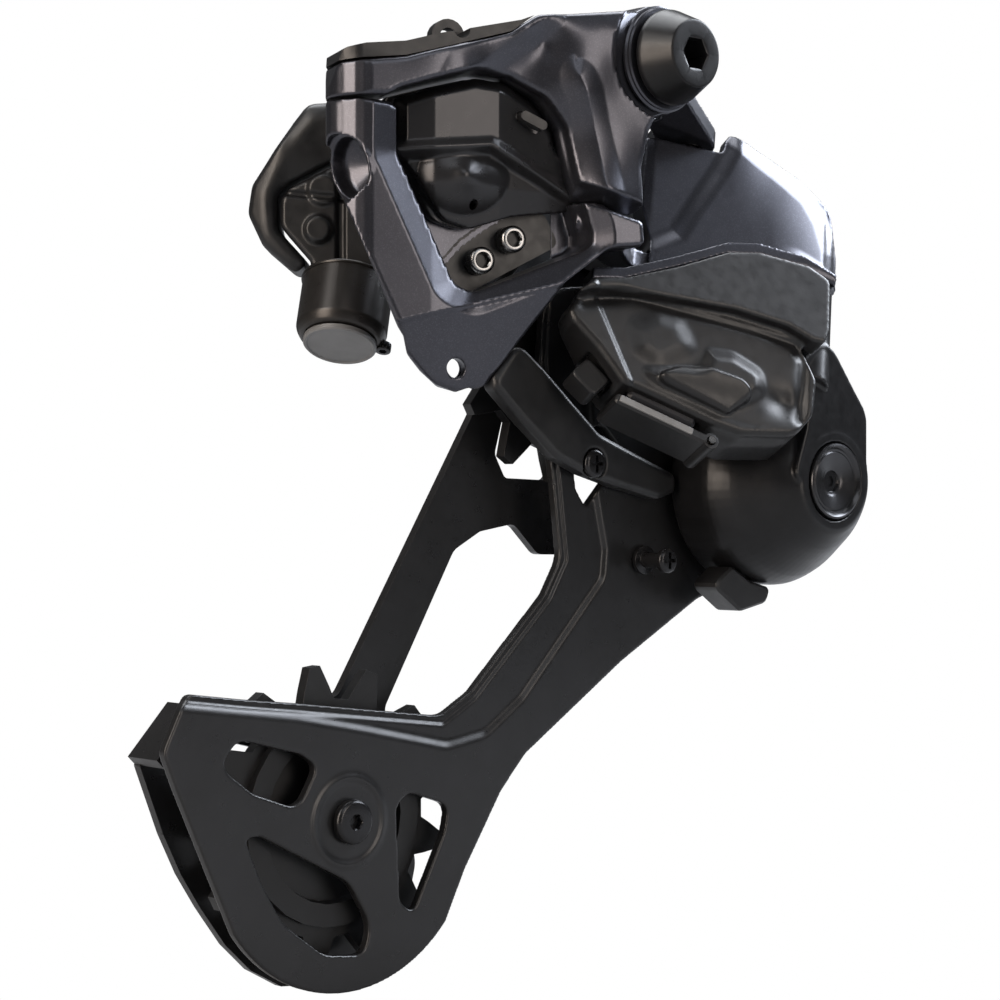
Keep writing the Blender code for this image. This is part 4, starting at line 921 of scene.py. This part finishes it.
OUTER_WINDOW = [(57.4, 72.0, 2), (58.6, 62.4, 2), (61.5, 58.4, 1.5), (66.4, 63.6, 2), (72.0, 70.0, 3),
                (66.0, 76.0, 3)]
INNER_WINDOWS = (
    [(47.6, 69.5, 2), (50.4, 64.6, 1.5), (62.5, 64.2, 2), (64.5, 70.0, 2), (60.0, 79.5, 3), (50.5, 79.5, 3)],
    [(68.0, 66.0, 2), (71.0, 57.6, 2), (79.0, 57.8, 2), (80.5, 65.0, 2), (76.0, 73.0, 3), (70.0, 76.0, 3)],
)


def plate_relief(u, v):
    """Two steps down to the arm's upper edge, and a ring round the pulley's bolt."""
    flange = -0.7 * (1.0 - soft_step(to_line(u, v, ARM_EDGE), 1.1, 2.0))
    step = -1.0 * soft_step(inside(u, v, UPPER_STEP), -1.1, 1.1)
    ring = 0.4 * np.exp(-((np.hypot(u, v) - 8.2) / 0.7) ** 2)
    return flange + step + ring


def make_outer_plate():
    outline = rounded([(-36.6, 25.6, 2), (-41.6, 15.6, 3), (-38.8, 8.9)] + arc(32.0, 215.0, 318.0, 30) +
                      [(28.6, -12.0, 6), (38.2, 2.6, 8), (44.6, 9.4, 6), (71.7, 26.7), (94.3, 38.9, 4),
                       (108.0, 43.5, 10), (123.0, 52.0, 12), (123.0, 70.0, 12), (112.0, 80.0, 10),
                       (97.0, 78.0, 8), (66.0, 104.0, 9), (50.0, 103.0, 10), (48.8, 88.0, 8),
                       (52.4, 64.0, 6), (54.4, 48.2, 6), (50.0, 41.0, 5), (30.2, 22.4, 6),
                       (22.6, 18.2, 6), (-10.7, 22.4), (-24.0, 23.9, 6)])
    plate = prism(CAGE, outline, 5.5, 7.5)
    for corners in SLOTS + (OUTER_WINDOW,):
        cut(plate, prism(CAGE, rounded(corners), 0.0, 12.0))
    cut(plate, rod(CAGE, 5.3, 0, 12, PIVOT_IN_CAGE), rod(CAGE, 1.9, 0, 12, STOP_PIN_AT),
        rod(CAGE, 1.8, 0, 12, GUARD_SCREW_AT), rod(CAGE, 2.7, 0, 12), rod(CAGE, 2.7, 0, 12, GUIDE_IN_CAGE))
    cast(plate, 0.33, 2)
    press(plate, TO_CAMERA, plate_relief(*heights(CAGE, plate)[:2]))
    stand_for(plate, "outer_plate", "plate", None)


def make_inner_plate():
    outline = rounded([(-38.4, 12.4, 1), (-33.3, -0.6, 6), (-29.4, -8.4), (-25.1, -15.0), (-19.5, -22.5),
                       (-13.8, -27.9), (-6.6, -31.9)] + arc(32.4, 262.0, 318.0, 14) +
                      [(26.5, -12.0, 6), (22.6, 10.0, 8), (18.4, 19.0, 3), (36.6, 50.0, 4), (43.6, 53.7, 3),
                       (52.8, 55.2, 3), (59.6, 48.8, 3), (70.0, 48.6, 6), (83.0, 56.0, 6), (85.0, 72.0, 8),
                       (78.0, 96.0, 12), (60.0, 107.0, 10), (47.0, 97.0, 10), (42.0, 78.0, 4), (7.2, 22.6, 4),
                       (-8.0, 17.0, 6), (-29.8, 21.6, 1)])
    plate = prism(CAGE, outline, -7.0, -5.0)
    join(plate, prism(CAGE, [(-39.6, 13.8), (-38.0, 12.2), (-29.4, 21.6), (-31.0, 23.2)], -7.0, 2.4))
    for corners in SLOTS[:2] + INNER_WINDOWS:
        cut(plate, prism(CAGE, rounded(corners), -12.0, 0.0))
    cut(plate, rod(CAGE, 2.7, -12, 0), rod(CAGE, 2.7, -12, 0, GUIDE_IN_CAGE))
    stand_for(bevel(plate, 0.3, 2), "inner_plate", "plate")


def make_cage():
    make_outer_plate()
    make_inner_plate()
    guard = cast(copy_of("chain_guard"), 0.35, 4)
    stand_for(guard, "chain_guard", "moulded", None)
    stand_for(cross_screw(GUARD_SCREW_AT, 1.5, 5.6, 11.5, 2.9, 13.0), "guard_screw", "black_steel")
    stand_for(cross_screw(STOP_PIN_AT, 1.6, 5.6, 14.2, 2.6, 15.8, (3.0, 7.8, 8.8)), "stop_pin", "black_steel")


def make_pulleys():
    for prefix, center in (("guide", GUIDE), ("tension", TENSION)):
        place = Frame(center, (1, 0, 0), (0, 0, 1))
        stand_for(bevel(copy_of(prefix + "_pulley"), 0.35, 2, 28.0), prefix + "_pulley", "pulley")
        profile = [(0, -8.2), (2.4, -8.2), (2.4, 7.8), (4.25, 7.8), (4.25, 9.0), (3.7, 9.6), (0, 9.6)]
        bolt = lathe(place, with_socket(soft_profile(profile, 0.3), 2.5, 8.2))
        stand_for(bolt, prefix + "_bolt", "black_steel")


# ---------------------------------------------------------------- the rest keeps the CAD's shape

PLAIN = {
    "painted_alloy": "paint", "black_alloy": "black_cast", "black_plastic": "moulded", "dark_plastic": "case",
    "black_steel": "black_steel", "bright_steel": "bright_steel", "spring_steel": "spring_steel",
    "battery_wrap": "wrap",
}


def main():
    make_camera()
    make_light()
    make_floor()
    make_hanger_bolt()
    make_brackets()
    make_bracket_trim()
    make_drive()
    make_link()
    make_battery()
    make_knuckle()
    make_cage()
    make_pulleys()
    for name, obj in NODES.items():
        if name not in DONE:
            was = obj.data.materials[0].name.split(".")[0]
            obj.data.materials[0] = MATERIALS[PLAIN[was]]


main()
